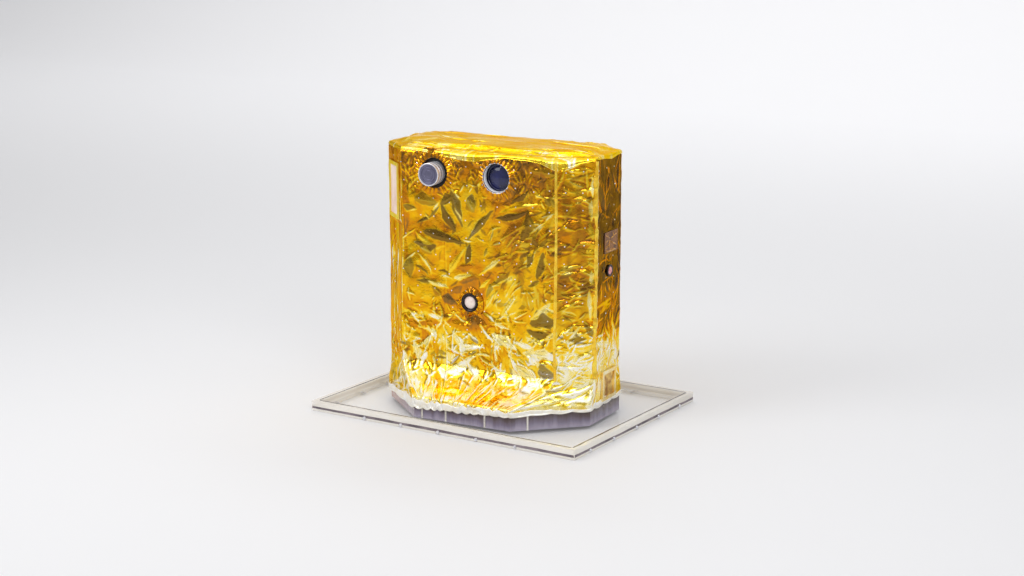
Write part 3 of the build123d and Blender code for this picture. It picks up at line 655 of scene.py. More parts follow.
def film_relief():
    """Relief of the side film, over the way round the body and the height.

    Wide swells and flat facets carry the large shapes, and leaf-shaped folds the creases: the
    ones that stand out are given one by one, and the small ones are scattered in fields, dense
    under the shoulder, round the ports and over the lowest third.
    """
    relief = Relief((0.0, WAY_ROUND), (8.0, 392.0), 0.8, margin=70.0)
    s, z = np.meshgrid(relief.s, relief.z)
    turn = s / WAY_ROUND
    warp_s = s + 7 * swell(turn * 20, z / 46, 20, 1) + 2.5 * swell(turn * 62, z / 15, 62, 2)
    warp_z = z + 7 * swell(turn * 20, z / 46, 20, 3) + 2.5 * swell(turn * 62, z / 15, 62, 4)
    warp = warp_s / WAY_ROUND
    low = np.clip((165 - z) / 60, 0, 1)
    high = np.clip((z - 335) / 25, 0, 1)
    relief.height += 1.1 * swell(turn * 11, z / 84, 11, 5)
    relief.height += 1.3 * facets(warp * 17, warp_z / 52, 17, 6)
    relief.height += (0.5 + 0.9 * low + 0.3 * high) * facets(warp * 37, warp_z / 24, 37, 7)
    relief.height += (0.15 + 0.4 * low + 0.3 * high) * facets(warp * 86, warp_z / 10.4, 86, 8)
    relief.height += (0.06 + 0.1 * low + 0.08 * high) * facets(warp * 190, warp_z / 4.7, 190, 9)
    c = CORNER_PLACES
    fields = (
        # seed, count, box round and up, lengths, slope and its spread, widths, heights
        (11, 150, (0, c[1], 330, 388), (8, 26), (90, 40), (0.10, 0.22), (0.22, 0.40)),
        (12, 60, (14, 98, 322, 386), (10, 24), (0, 60), (0.10, 0.20), (0.20, 0.40)),
        (13, 60, (114, 198, 322, 386), (10, 24), (0, 60), (0.10, 0.20), (0.20, 0.40)),
        (14, 12, (6, 150, 200, 325), (8, 20), (60, 60), (0.08, 0.14), (0.15, 0.30)),
        (15, 60, (150, 246, 150, 325), (8, 30), (42, 32), (0.10, 0.20), (0.20, 0.36)),
        (16, 90, (4, 150, 120, 175), (8, 26), (0, 45), (0.10, 0.20), (0.25, 0.42)),
        (17, 210, (0, c[1], 22, 150), (12, 48), (75, 50), (0.12, 0.24), (0.24, 0.42)),
        (18, 120, (c[1], c[2], 30, 375), (14, 52), (8, 26), (0.08, 0.16), (0.22, 0.38)),
        (19, 120, (c[2], c[3], 30, 375), (12, 60), (84, 24), (0.10, 0.18), (0.24, 0.42)),
        (20, 90, (c[3], c[4], 22, 385), (12, 46), (20, 50), (0.10, 0.18), (0.20, 0.36)),
        (21, 150, (c[4], c[5], 335, 388), (8, 28), (90, 40), (0.10, 0.22), (0.22, 0.40)),
        (22, 120, (c[4], c[5], 150, 340), (14, 60), (50, 60), (0.10, 0.18), (0.18, 0.34)),
        (23, 210, (c[4], c[5], 22, 160), (12, 50), (75, 50), (0.12, 0.24), (0.24, 0.42)),
        (24, 110, (c[5], c[6], 22, 385), (12, 46), (10, 40), (0.10, 0.18), (0.20, 0.36)),
        (25, 90, (c[6], c[7], 22, 385), (12, 46), (85, 35), (0.10, 0.18), (0.20, 0.36)),
        (26, 60, (c[7], c[8], 22, 275), (12, 50), (88, 20), (0.06, 0.12), (0.16, 0.30)),
        (27, 50, (c[7], c[8], 22, 120), (8, 30), (60, 50), (0.10, 0.20), (0.20, 0.40)),
        (29, 16, (c[4], c[5], 60, 330), (55, 95), (120, 50), (0.10, 0.14), (0.14, 0.24)),
    )
    for seed, count, place, lengths, slopes, widths, heights in fields:
        scatter(relief, seed, count, place, lengths, slopes, widths, heights)
    relief.height = 2.4 * np.tanh((relief.height - np.median(relief.height)) / 2.8)
    lay_flecks(relief)
    lay_leaves(relief)
    relief.seal()
    s, z = np.meshgrid(relief.s, relief.z)
    h = relief.height - FILM_SINK
    skirt = np.clip((66 - z) / 14, 0, 1)
    h = h * (1 - 0.25 * skirt) - 0.2 * skirt
    for place in (WINDOW, PATCH, HATCH, BUTTON):
        k = near(s, z, place, 7.0)
        h = h * (1 - k) - 0.3 * k
    wobble = 1.2 * swell(z / 60, z * 0, 50, 40)
    for corner, place in enumerate(CORNER_PLACES[:-1]):
        gap = np.abs(np.mod(s - place - wobble + WAY_ROUND / 2, WAY_ROUND) - WAY_ROUND / 2)
        ease = np.clip(1 - gap / 6.0, 0, 1)
        h = h * (1 - 0.6 * ease)
        if corner not in SEAM_CORNERS:
            h += 0.5 * np.clip(1 - gap / 2.4, 0, 1) * np.clip((z - 45) / 40, 0, 1)
    for x, height, hole in PORTS:
        gap = np.hypot(s - front_place(x), z - height) - hole
        h = np.where(gap < 4.0, np.minimum(h, -0.6), h)
    relief.height = np.clip(h, -3.6, 4.0)
    relief.height[:, -1] = relief.height[:, 0]
    relief.find_creases()
    return relief


def outline_at(share):
    """The body's eight corners for shares of the skirt's spread, as an array with x and y last."""
    share = np.asarray(share, float)[..., None]
    depth = HALF_DEPTH + SKIRT_SPREAD * share
    corner_out = SKIRT_CORNER_SPREAD * share * CORNER_FACE
    flat = BROAD_HALF_FLAT - SKIRT_SPREAD * share * CORNER_RUN / CORNER_RISE + corner_out / CORNER_RISE
    wide = np.full_like(depth, HALF_WIDTH)
    narrow = END_HALF_FLAT + corner_out / CORNER_RUN
    x = np.concatenate([-flat, flat, wide, wide, flat, -flat, -wide, -wide], axis=-1)
    y = np.concatenate([-depth, -depth, -narrow, narrow, depth, depth, narrow, -narrow], axis=-1)
    return np.stack([x, y], axis=-1)


ROUNDING = 2.6               # reach of the rounding at the body's upright corners


def wall_points(s, z, lift):
    """Points on the body's side, lifted off it, for places round it and heights of one shape.

    A place is first a share of its face's length, so that it keeps to its face down the skirt,
    then the mean of several places close by, which rounds the corners. It is lifted along the
    mean of the faces' own directions.
    """
    share = np.interp(z, [row[0] for row in SKIRT], [row[1] for row in SKIRT])
    corners = outline_at(share)
    closed = np.concatenate([corners, corners[..., :1, :]], axis=-2)
    ends = outline_at(np.array(0.0))
    along = np.roll(ends, -1, axis=0) - ends
    outward = np.stack([along[:, 1], -along[:, 0]], axis=-1) / np.linalg.norm(along, axis=-1, keepdims=True)
    spot = np.zeros(s.shape + (2,))
    normal = np.zeros(s.shape + (2,))
    offsets = np.linspace(-ROUNDING, ROUNDING, 9)
    for offset in offsets:
        place = np.mod(s + offset, WAY_ROUND)
        face = np.clip(np.searchsorted(CORNER_PLACES, place, side="right") - 1, 0, 7)
        part = ((place - CORNER_PLACES[face]) / FACE_LENGTHS[face])[..., None]
        first = np.take_along_axis(closed, face[..., None, None].repeat(2, -1), axis=-2)[..., 0, :]
        second = np.take_along_axis(closed, face[..., None, None].repeat(2, -1) + 1, axis=-2)[..., 0, :]
        spot += first + (second - first) * part
        normal += outward[face]
    spot /= len(offsets)
    normal /= np.linalg.norm(normal, axis=-1, keepdims=True)
    spot = spot + normal * lift[..., None]
    return np.concatenate([spot, z[..., None]], axis=-1)


def hem_line(s):
    """Height of the film's lower edge: the sloped hem, with small scallops of uneven width."""
    x = wall_points(s, np.full_like(s, 25.0), np.zeros_like(s))[..., 0]
    walk = s / WAY_ROUND * 42 + 0.45 * swell(s / WAY_ROUND * 21, s * 0, 21, 51)
    dip = np.abs(np.sin(np.pi * walk)) * (0.65 + 0.35 * swell(s / WAY_ROUND * 30, s * 0, 30, 52))
    return HEM_HEIGHT + HEM_SLOPE * x + 1.6 - 3.0 * dip


# Depth of the top film over the side: place round the body, millimetres down from the shoulder
OVERHANG = (
    (0, 4), (33, 4), (50, 6), (70, 10), (95, 13), (120, 14), (144, 9), (168, 5), (203, 6), (225, 9), (246, 17),
    (250, 18), (262, 14), (307, 3), (330, 5), (352, 8), (387, 5), (410, 9), (447, 6), (500, 11), (540, 6),
    (590, 12), (640, 7), (680, 10), (695, 6), (725, 9), (754, 4), (790, 8), (834, 5), (860, 7), (893.8, 4),
)


def overhang_at(s):
    """How far the top film comes down over the side."""
    return np.interp(np.mod(s, WAY_ROUND), [row[0] for row in OVERHANG], [row[1] for row in OVERHANG])


def side_film(relief, material):
    """The side film in four pieces. Each is a grid of places round the body by rows from the hem to the shoulder."""
    rows = 330
    step = 1.1
    cells = np.maximum(np.round(FACE_LENGTHS / step).astype(int), 2)
    cells[4] = 190
    places = np.concatenate([CORNER_PLACES[k] + FACE_LENGTHS[k] * np.arange(cells[k]) / cells[k] for k in range(8)])
    places = np.append(places, WAY_ROUND)
    starts = np.concatenate([[0], np.cumsum(cells)])
    top = SHOULDER - 3.0
    part = np.linspace(0, 1, rows)[:, None]
    groups = (
        ("film_front", 0, 1, ("blanket_front",)),
        ("film_right", 1, 4, ("blanket_front_right", "blanket_right", "blanket_back_right")),
        ("film_back", 4, 5, ("blanket_back",)),
        ("film_left", 5, 8, ("blanket_back_left", "blanket_left", "blanket_front_left")),
    )
    for name, first, last, nodes in groups:
        s = places[starts[first]:starts[last] + 1]
        low = hem_line(s)
        z = low + (top - low) * part
        s = np.broadcast_to(s, z.shape)
        lift = relief.at(np.mod(s, WAY_ROUND), z)
        under = np.clip((z - (SHOULDER - 7)) / 4, 0, 1)
        lift = lift * (1 - under) - 2.0 * under
        lift = np.where(part > 0, lift, -3.6)
        points = wall_points(s, z, lift)
        inside = [np.hypot(s - front_place(x), z - height) < hole + 1.2 for x, height, hole in PORTS]
        piece = surface(
            name, points, material,
            attributes={"tone": film_tone(s, z, relief), "shade": film_shade(s, z, relief)},
            uv=np.stack([s / 100, z / 100], axis=-1),
            cut=inside[0] | inside[1] | inside[2],
        )
        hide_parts(*nodes)


# Tone of the film, which holds painted highlights and painted shade as well as its own colour: 0 nearly white, 0.1 pale
# straw, 0.4 plain gold, 0.6 amber, 0.8 olive brown, 1 dark brown
PLAIN_TONE = 0.43
PALEST = 0.08


def crease_highlight_and_shade(tone, crease):
    """Tone with the creases in it: crests get painted highlights and valleys painted shade."""
    return np.clip(tone - 0.29 * crease.clip(0, 1) - 0.2 * crease.clip(-1, 0), 0, 1)


def coloured(s, z, relief, values):
    """A map's values at places that wander by 2 mm, so that the leaves' edges run unevenly."""
    turn = s / WAY_ROUND
    wander_s = 1.5 * swell(turn * 74, z / 12, 74, 64) + 0.8 * swell(turn * 178, z / 5, 178, 65)
    wander_z = 1.5 * swell(turn * 74, z / 12, 74, 66) + 0.8 * swell(turn * 178, z / 5, 178, 67)
    return relief.at(np.clip(np.mod(s, WAY_ROUND) + wander_s, 0, WAY_ROUND), z + wander_z, values)


def drifted(s, z):
    """Share of the way round, led 5 mm to and fro up the body, so that upright streaks aren't straight."""
    turn = s / WAY_ROUND
    return turn + 5 * swell(turn * 40, z / 28, 40, 84) / WAY_ROUND


def film_tone(s, z, relief):
    """Tone of the side film for places round it and heights, with its leaves and creases.

    It is plain gold with soft swells, deeper round the ports and along a band across the centre
    port. Painted shade deepens it under the shoulder and over the front's upper part and turns it
    brown on the faces at the right; painted highlights make it pale over the lowest third, and
    painted reflections streak the left corner face with pale.
    """
    c = CORNER_PLACES
    turn = s / WAY_ROUND
    patch = 0.5 + 0.5 * swell(turn * 40, z / 18, 40, 62)
    on_front = s <= c[1]
    tone = PLAIN_TONE + 0.1 * swell(turn * 24, z / 30, 24, 61)
    # Painted shade: deeper amber under the shoulder
    under = np.clip((z - 330) / 30, 0, 1) * (on_front | (s > c[7]))
    amber = 0.26 * under * (0.35 + 0.65 * patch)
    for x, height, hole in PORTS:
        gap = np.hypot(s - front_place(x), z - height) - hole
        amber = np.maximum(amber, 0.2 * np.clip(1.1 - gap / 26, 0, 1) * (0.5 + 0.5 * patch))
    band = 150 - 0.42 * np.clip(s - front_place(-20), 0, None)
    amber = np.maximum(amber, 0.15 * np.clip(1.3 - np.abs(z - band) / 20, 0, 1) * patch * on_front)
    # Painted highlights: paler over the lowest third and the skirt; painted shade: brown on the faces at the right and
    # over the front's upper part
    pale = 0.17 * np.clip((160 - z) / 50, 0, 1) * (s <= c[3]) * (0.45 + 0.55 * (1 - patch))
    brown = 0.1 * np.clip((z - 110) / 160, 0, 1) * (0.6 + 0.4 * patch) * ((s > c[1]) & (s <= c[2]))
    pale = pale + 0.17 * np.clip((165 - z) / 60, 0, 1) * ((s > c[1]) & (s <= c[3]))
    brown = brown + 0.56 * np.clip((z - 115) / 90, 0, 1) ** 0.7 * (0.7 + 0.3 * patch) * ((s > c[2]) & (s <= c[3]))
    uneven = 16 * swell(turn * 34, z / 40, 34, 68)
    pale = np.maximum(pale, 0.3 * np.clip((80 + uneven - z) / 14, 0, 1) * (0.7 + 0.3 * patch))
    high_right = np.clip((s - front_place(10)) / 60, 0, 1) * on_front
    brown = brown + (0.05 * on_front + 0.09 * high_right * patch) * np.clip((z - 165) / 60, 0, 1)
    # Painted reflections: pale upright streaks on the left corner face
    streak = np.clip(0.3 + swell(drifted(s, z) * 300, z / 45, 300, 63), 0, 1)
    left = (0.02 - 0.32 * streak) * (s > c[7]) * np.clip((z - 60) / 30, 0, 1)
    painted_light_and_shade = coloured(s, z, relief, relief.painted_light_and_shade)
    tone = np.clip(tone + amber + brown + left - pale + painted_light_and_shade, PALEST, 1)
    crease = relief.at(np.mod(s, WAY_ROUND), z, relief.crease) * (1 - np.abs(painted_light_and_shade) / 0.25).clip(0.2, 1)
    return crease_highlight_and_shade(tone, crease)


def film_shade(s, z, relief):
    """Painted shade of the side film, towards olive brown: its dark leaves, painted reflections as streaks on both
    corner faces in front, and patches over the front's upper right.
    """
    c = CORNER_PLACES
    turn = s / WAY_ROUND
    right = np.clip(0.5 + swell(turn * 130, z / 34, 130, 69), 0, 1) * ((s > c[1]) & (s <= c[2])) * np.clip((z - 120) / 90, 0, 1)
    left = np.clip(0.5 + swell(drifted(s, z) * 240, z / 45, 240, 70), 0, 1) * (s > c[7])
    high = np.clip((s - front_place(10)) / 60, 0, 1) * (s <= c[1]) * np.clip((z - 170) / 50, 0, 1)
    high = high * np.clip(0.3 + swell(turn * 90, z / 16, 90, 83), 0, 1)
    streaks = 0.5 * right + 0.34 * left + 0.42 * high
    return np.maximum(coloured(s, z, relief, relief.shade), streaks)


def crown_height(x, y, relief):
    """Height of the top film over a place: a low rise from the shoulder inwards, with long soft folds."""
    corners = outline_at(np.array(0.0))
    inset = np.full(x.shape, 1e9)
    for k in range(8):
        (ax, ay), (bx, by) = corners[k], corners[(k + 1) % 8]
        length = math.hypot(bx - ax, by - ay)
        inset = np.minimum(inset, -((x - ax) * (by - ay) - (y - ay) * (bx - ax)) / length)
    rise = np.clip(inset / CROWN_INSET, 0, 1)
    fold = relief.at(x, y)
    return SHOULDER + 0.5 + (CROWN - SHOULDER - 0.5) * rise * (2 - rise) + fold * np.clip(inset / 12, 0, 1), inset


def top_relief():
    """Relief of the top film: wide swells, flat facets and long folds that run with the body's length."""
    relief = Relief((-176.0, 176.0), (-92.0, 92.0), 0.9)
    x, y = np.meshgrid(relief.s, relief.z)
    warp_x = x + 8 * swell(x / 40 + 9, y / 30 + 9, 999, 71)
    warp_y = y + 6 * swell(x / 40 + 9, y / 30 + 9, 999, 72)
    relief.height += 1.2 * swell(x / 95 + 9, y / 42 + 9, 999, 73)
    relief.height += 0.8 * facets(warp_x / 64 + 9, warp_y / 26 + 9, 999, 74)
    relief.height += 0.3 * facets(warp_x / 22 + 9, warp_y / 12 + 9, 999, 75)
    relief.height += 0.1 * facets(warp_x / 8 + 9, warp_y / 5 + 9, 999, 76)
    scatter(relief, 77, 46, (-165, 165, -78, 78), (30, 120), (-4, 12), (0.05, 0.10), (0.14, 0.30), both=0.4)
    scatter(relief, 78, 60, (-165, 165, -80, -50), (10, 34), (20, 50), (0.10, 0.18), (0.14, 0.30), both=0.4)
    scatter(relief, 79, 60, (-165, 165, 50, 80), (10, 34), (-20, 50), (0.10, 0.18), (0.14, 0.30), both=0.4)
    relief.height = 1.9 * np.tanh(relief.height / 1.9)
    relief.find_creases()
    return relief


def top_film(relief, folds, material):
    """The top film: rows run from its edge on the side, over the shoulder, to the body's long middle line.

    Below the shoulder a row is a height on the wall, at the shoulder it follows a quarter round
    as deep as the overhang allows, and on the crown it is a share of the way to the middle line.
    """
    cells = np.array([190, 46, 62, 46] * 2)
    s = np.concatenate([CORNER_PLACES[k] + FACE_LENGTHS[k] * np.arange(cells[k]) / cells[k] for k in range(8)])
    s = np.append(s, WAY_ROUND)[None, :]
    hang = overhang_at(s) + 0.8 * swell(s / WAY_ROUND * 60, s * 0, 60, 81)
    radius = np.clip(0.6 * hang, 2.6, 8.0)
    down = np.array([1.0, 0.93, 0.86, 0.72, 0.56, 0.4, 0.25, 0.1, 0.0])[:, None]
    edge = np.array([-1.6, 0.5, 0.75, 0.45, 0.35, 0.3, 0.3, 0.3, 0.3])[:, None]
    z_side = SHOULDER - radius - (hang - radius).clip(1.0, None) * down
    film = folds.at(np.mod(s, WAY_ROUND) + 0 * z_side, z_side)
    lift = edge + 0.25 * film.clip(-1.5, 1.5) * (down < 1)
    side = wall_points(np.broadcast_to(s, z_side.shape), z_side, lift)
    start = side[-1]
    turn = np.linspace(0, 0.5 * np.pi, 11)[1:]
    base = wall_points(s, np.full_like(s, SHOULDER), np.zeros_like(s))[0]
    medial = np.stack([np.clip(base[:, 0], -BROAD_HALF_FLAT + 36, BROAD_HALF_FLAT - 36), 0 * base[:, 0]], axis=-1)
    inward = medial - base[:, :2]
    reach = np.linalg.norm(inward, axis=-1, keepdims=True)
    inward = inward / reach
    wave = 0.7 * swell(s[0] / WAY_ROUND * 48, 0 * s[0], 48, 82)[:, None]
    deep = radius[0][:, None]
    shoulder = []
    for angle in turn:
        flat = start[:, :2] + inward * deep * 1.2 * (1 - math.cos(angle))
        height = start[:, 2:] + (deep + wave) * math.sin(angle)
        shoulder.append(np.concatenate([flat, height], axis=-1))
    shoulder = np.stack(shoulder)
    edge = shoulder[-1]
    share = np.linspace(0, 1, 66)[1:, None, None]
    flat = edge[None, :, :2] + (medial - edge[:, :2])[None] * share
    height, inset = crown_height(flat[..., 0], flat[..., 1], relief)
    blend = np.clip(share[..., 0] * reach[:, 0] / 22, 0, 1)
    height = edge[None, :, 2] * (1 - blend) + height * blend
    crown = np.concatenate([flat, height[..., None]], axis=-1)
    points = np.concatenate([side, shoulder, crown])
    # The top's tone is paler than the sides' plain gold, a painted highlight on a top that faces the light, with
    # painted highlights on its crests and painted shade in its valleys
    soft = swell(points[..., 0] / 34 + 9, points[..., 1] / 20 + 9, 999, 83)
    piece = surface(
        "film_top", points, material,
        attributes={"tone": crease_highlight_and_shade(0.24 + 0.08 * soft, 0.6 * relief.at(points[..., 0], points[..., 1], relief.crease))},
        uv=points[..., :2] / 100, merge=True,
    )
    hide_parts("blanket_top")


TAIL = (340.0, 24.0, 8.5)   # place round the body, reach and height of the crumpled end


def hem_roll(relief, material):
    """The silver hem: a small roll round the film's lower edge with a scalloped band above it.

    The profile starts under the film, goes round the roll and up the outside to an edge that
    wanders, and lies a little over the film there.
    """
    s = np.append(np.linspace(0, WAY_ROUND, 900, endpoint=False), WAY_ROUND)[None, :]
    low = hem_line(s)
    tall = 8.4 + 2.6 * swell(s / WAY_ROUND * 34, s * 0, 34, 91) + 1.4 * swell(s / WAY_ROUND * 110, s * 0, 110, 92)
    x = wall_points(s, np.full_like(s, 25.0), np.zeros_like(s))[..., 0]
    tall = tall * np.clip(1.25 - 0.0037 * (x + 60).clip(0, None), 0.45, 1.25)
    # A crumpled end of the band stands up on the end face at the right
    tail = np.exp(-((s - TAIL[0]) / TAIL[1]) ** 2)
    tall = tall + TAIL[2] * tail
    turn = np.linspace(-0.1 * np.pi, np.pi, 9)[:, None]
    radius = 1.5
    roll_lift = -2.2 - radius * np.cos(turn) * 1.0
    roll_z = low - radius * np.sin(turn) * 1.0
    up = np.linspace(0.12, 1, 9)[:, None]
    band_z = low + tall * up
    film = relief.at(np.mod(s, WAY_ROUND) + 0 * band_z, band_z)
    crinkle = 0.35 * facets(s / WAY_ROUND * 260 + 0 * up, band_z / 3.4, 260, 93)
    crumple = tail * (1.4 + 1.6 * facets(s / WAY_ROUND * 150 + 0 * up, band_z / 7, 150, 94))
    band_lift = film + 0.6 + crinkle + crumple * np.sin(np.pi * up) - 0.9 * (up == 1)
    first = -0.7 + 0 * s
    lift = np.concatenate([roll_lift + 0 * s, first, band_lift])
    z = np.concatenate([roll_z, low + 0.1, band_z])
    points = wall_points(np.broadcast_to(s, z.shape), z, lift)
    piece = surface("film_hem", points, material, merge=True)
    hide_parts("hem_band")


# Seam beads: corner, half width, height of the crest, how much the width wanders
SEAMS = ((1, 2.5, 2.0, 0.12), (2, 4.4, 1.6, 0.4), (5, 2.0, 1.5, 0.12), (6, 3.0, 1.4, 0.3))


def seam_beads(relief, material):
    """Folded seams over four upright edges: a half-round bead over each corner, its width wandering with the height."""
    z = np.linspace(72, SHOULDER - 5, 320)[:, None]
    part = np.linspace(-1, 1, 15)[None, :]
    for corner, half, crest, wander in SEAMS:
        wobble = 1.2 * swell(z / 60, z * 0, 50, 40)
        width = half * (1 + wander * swell(z / 17, z * 0, 50, 100 + corner) + 0.5 * wander * swell(z / 5, z * 0, 90, 110 + corner))
        s = CORNER_PLACES[corner] + wobble + part * width
        zz = z + 0 * s
        lift = np.minimum(relief.at(np.mod(s, WAY_ROUND), zz), 0.0) + 0.2
        lift += crest * np.sqrt((1 - part ** 2).clip(0, 1)) * (1 + 0.2 * swell(z / 11, z * 0, 50, 120 + corner))
        lift -= 1.2 * (np.abs(part) == 1)
        surface(f"film_seam_{corner}", wall_points(s, zz, lift), material)
    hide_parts("seam_tapes")


# Ridges of the creased patch: place round the body and height of one end and of the other, half width
PATCH_RIDGES = (
    (333, 274, 348, 267, 1.0), (350, 266, 372, 271, 0.9), (349, 265, 345, 253, 1.1), (346, 259, 333, 254, 0.9),
    (352, 262, 370, 254, 1.3), (334, 249.5, 368, 249.2, 1.6), (357, 275.5, 361, 268, 0.8), (334, 263, 343, 265, 0.7),
)
PATCH_FACE = 0.8             # how far the patch stands off the end face


def patch_ridges(material):
    """Creases of the patch: a half-round ridge along each line, narrowing to nothing at both ends."""
    along = np.linspace(0, 1, 24)[:, None]
    across = np.linspace(-1, 1, 9)[None, :]
    for number, (s0, z0, s1, z1, half) in enumerate(PATCH_RIDGES):
        length = math.hypot(s1 - s0, z1 - z0)
        ds, dz = (s1 - s0) / length, (z1 - z0) / length
        wide = half * (1 - np.abs(2 * along - 1) ** 6).clip(0.04, 1) * (1 + 0.2 * swell(along * 6 + 9, along * 0, 99, 160 + number))
        s = s0 + (s1 - s0) * along - dz * across * wide
        z = z0 + (z1 - z0) * along + ds * across * wide
        x = HALF_WIDTH + PATCH_FACE - 0.2 + 0.9 * wide * np.sqrt((1 - across ** 2).clip(0, 1))
        y = s - CORNER_PLACES[2] - END_HALF_FLAT
        surface(f"patch_ridge_{number}", np.stack([x, y, z], axis=-1)[:, ::-1], material)


# Tray: half length, half width, rail width and height, and its turn
TRAY_HALF = (223.0, 170.5)
RAIL_WIDTH = 10.0
RAIL_HEIGHT = 14.4
TRAY_TURN = math.radians(-4.5)
RAIL_LINE_PROUD = 0.12           # how far the drawn lines stand off the rails


def tray_painted_edges(dark, grey):
    """Dark lines on the tray's clear rails, as narrow strips: painted shade for the dark edges that refraction shows in
    clear acrylic.

    Each strip is a rectangle carried along a side in short lengths, its width wandering a little:
    one lies on the rail's top near its inner edge, and one stands on its outer face where the
    floor sheet's edge shows through.
    """
    along = np.linspace(-1, 1, 160)[:, None]
    across = np.array([0.0, 1.0])[None, :]
    for number, (name, dx, dy) in enumerate((("front", 0, -1), ("right", 1, 0), ("back", 0, 1), ("left", -1, 0))):
        reach = TRAY_HALF[1] if dx == 0 else TRAY_HALF[0]
        run = TRAY_HALF[0] if dx == 0 else TRAY_HALF[1]
        # Line on the top, 2 to 3 mm wide
        width = 2.4 + 0.6 * swell(along * 9 + 20, along * 0, 999, 140 + number)
        out = reach - RAIL_WIDTH + 1.2 + across * width
        side = along * (run - RAIL_WIDTH + 0.5) + 0 * across
        top = np.stack([out, side, np.full_like(out, RAIL_HEIGHT + RAIL_LINE_PROUD)], axis=-1)
        # Band on the outer face, 3 to 4 mm tall
        tall = 3.6 + 0.5 * swell(along * 7 + 20, along * 0, 999, 150 + number)
        z = 3.4 + across * tall
        face = np.stack([np.full_like(z, reach + RAIL_LINE_PROUD), along * (run - 0.8) + 0 * across, z], axis=-1)
        for label, strip, material in (("top", top, dark), ("face", face, grey)):
            out, side, z = strip[..., 0], strip[..., 1], strip[..., 2]
            x, y = out * dx - side * dy, out * dy + side * dx
            turned_x = x * math.cos(TRAY_TURN) - y * math.sin(TRAY_TURN)
            turned_y = x * math.sin(TRAY_TURN) + y * math.cos(TRAY_TURN)
            points = np.stack([turned_x, turned_y, z], axis=-1)
            if label == "top":
                points = points[:, ::-1]
            surface(f"tray_painted_edge_{label}_{name}", points.transpose(1, 0, 2), material)


# Turned pieces on the ports

LIP = (20.3, 19.6, 0.6)     # outer and inner radius of the white lip, and how far the inner circle is shifted


def turned(name, profile, centre, material, steps=96, corner=0.25):
    """A turned piece about a port's axis. The profile is radius and reach in front of the port's plane.

    Each corner of the profile is cut back to two points and a middle one, and the profile is
    carried round the axis.
    """
    path = np.array(profile, float)
    closed = path[0, 0] > 0 and path[-1, 0] > 0
    rounded = []
    for k, point in enumerate(path):
        before = path[k - 1] if (k > 0 or closed) else None
        after = path[(k + 1) % len(path)] if (k < len(path) - 1 or closed) else None
        if before is None or after is None:
            rounded.append(point)
            continue
        a, b = before - point, after - point
        la, lb = np.linalg.norm(a), np.linalg.norm(b)
        cut = min(corner, 0.4 * la, 0.4 * lb)
        pa, pb = point + a / la * cut, point + b / lb * cut
        rounded += [pa, (pa + pb) / 4 + point / 2, pb]
    if closed:
        rounded.append(rounded[0])
    path = np.array(rounded)
    angle = np.linspace(0, 2 * np.pi, steps, endpoint=False)
    radius, reach = path[:, 0:1], path[:, 1:2]
    x = centre[0] + radius * np.cos(angle)
    z = centre[1] + radius * np.sin(angle)
    y = PORT_FACE - reach + 0 * x
    points = np.stack([x, y, z], axis=-1)
    return surface(name, points[:, ::-1], material, close=True, sharp=40, merge=True)


def crescent_lip(material):
    """The white lip at the mouth of the right tube, thick at the lower left and thin opposite.

    Rings run from the hole's edge inwards to a circle whose centre lies up and to the right, and
    the lip slopes into the tube.
    """
    angle = np.linspace(0, 2 * np.pi, 120, endpoint=False)[None, :]
    share = np.array([-0.2, 0.0, 0.15, 0.5, 0.85, 1.0, 1.1])[:, None]
    reach = np.array([2.0, 3.4, 3.7, 3.3, 2.4, 1.2, -1.6])[:, None]
    outer, inner, shift = LIP
    depth = share.clip(0, 1)
    x = RIGHT_PORT[0] + (outer * (1 - depth) + inner * depth) * np.cos(angle) + shift * depth
    z = RIGHT_PORT[1] + (outer * (1 - depth) + inner * depth) * np.sin(angle) + shift * depth
    points = np.stack([x, PORT_FACE - reach + 0 * x, z], axis=-1)
    return surface("right_lip", points, material, close=True, sharp=40)


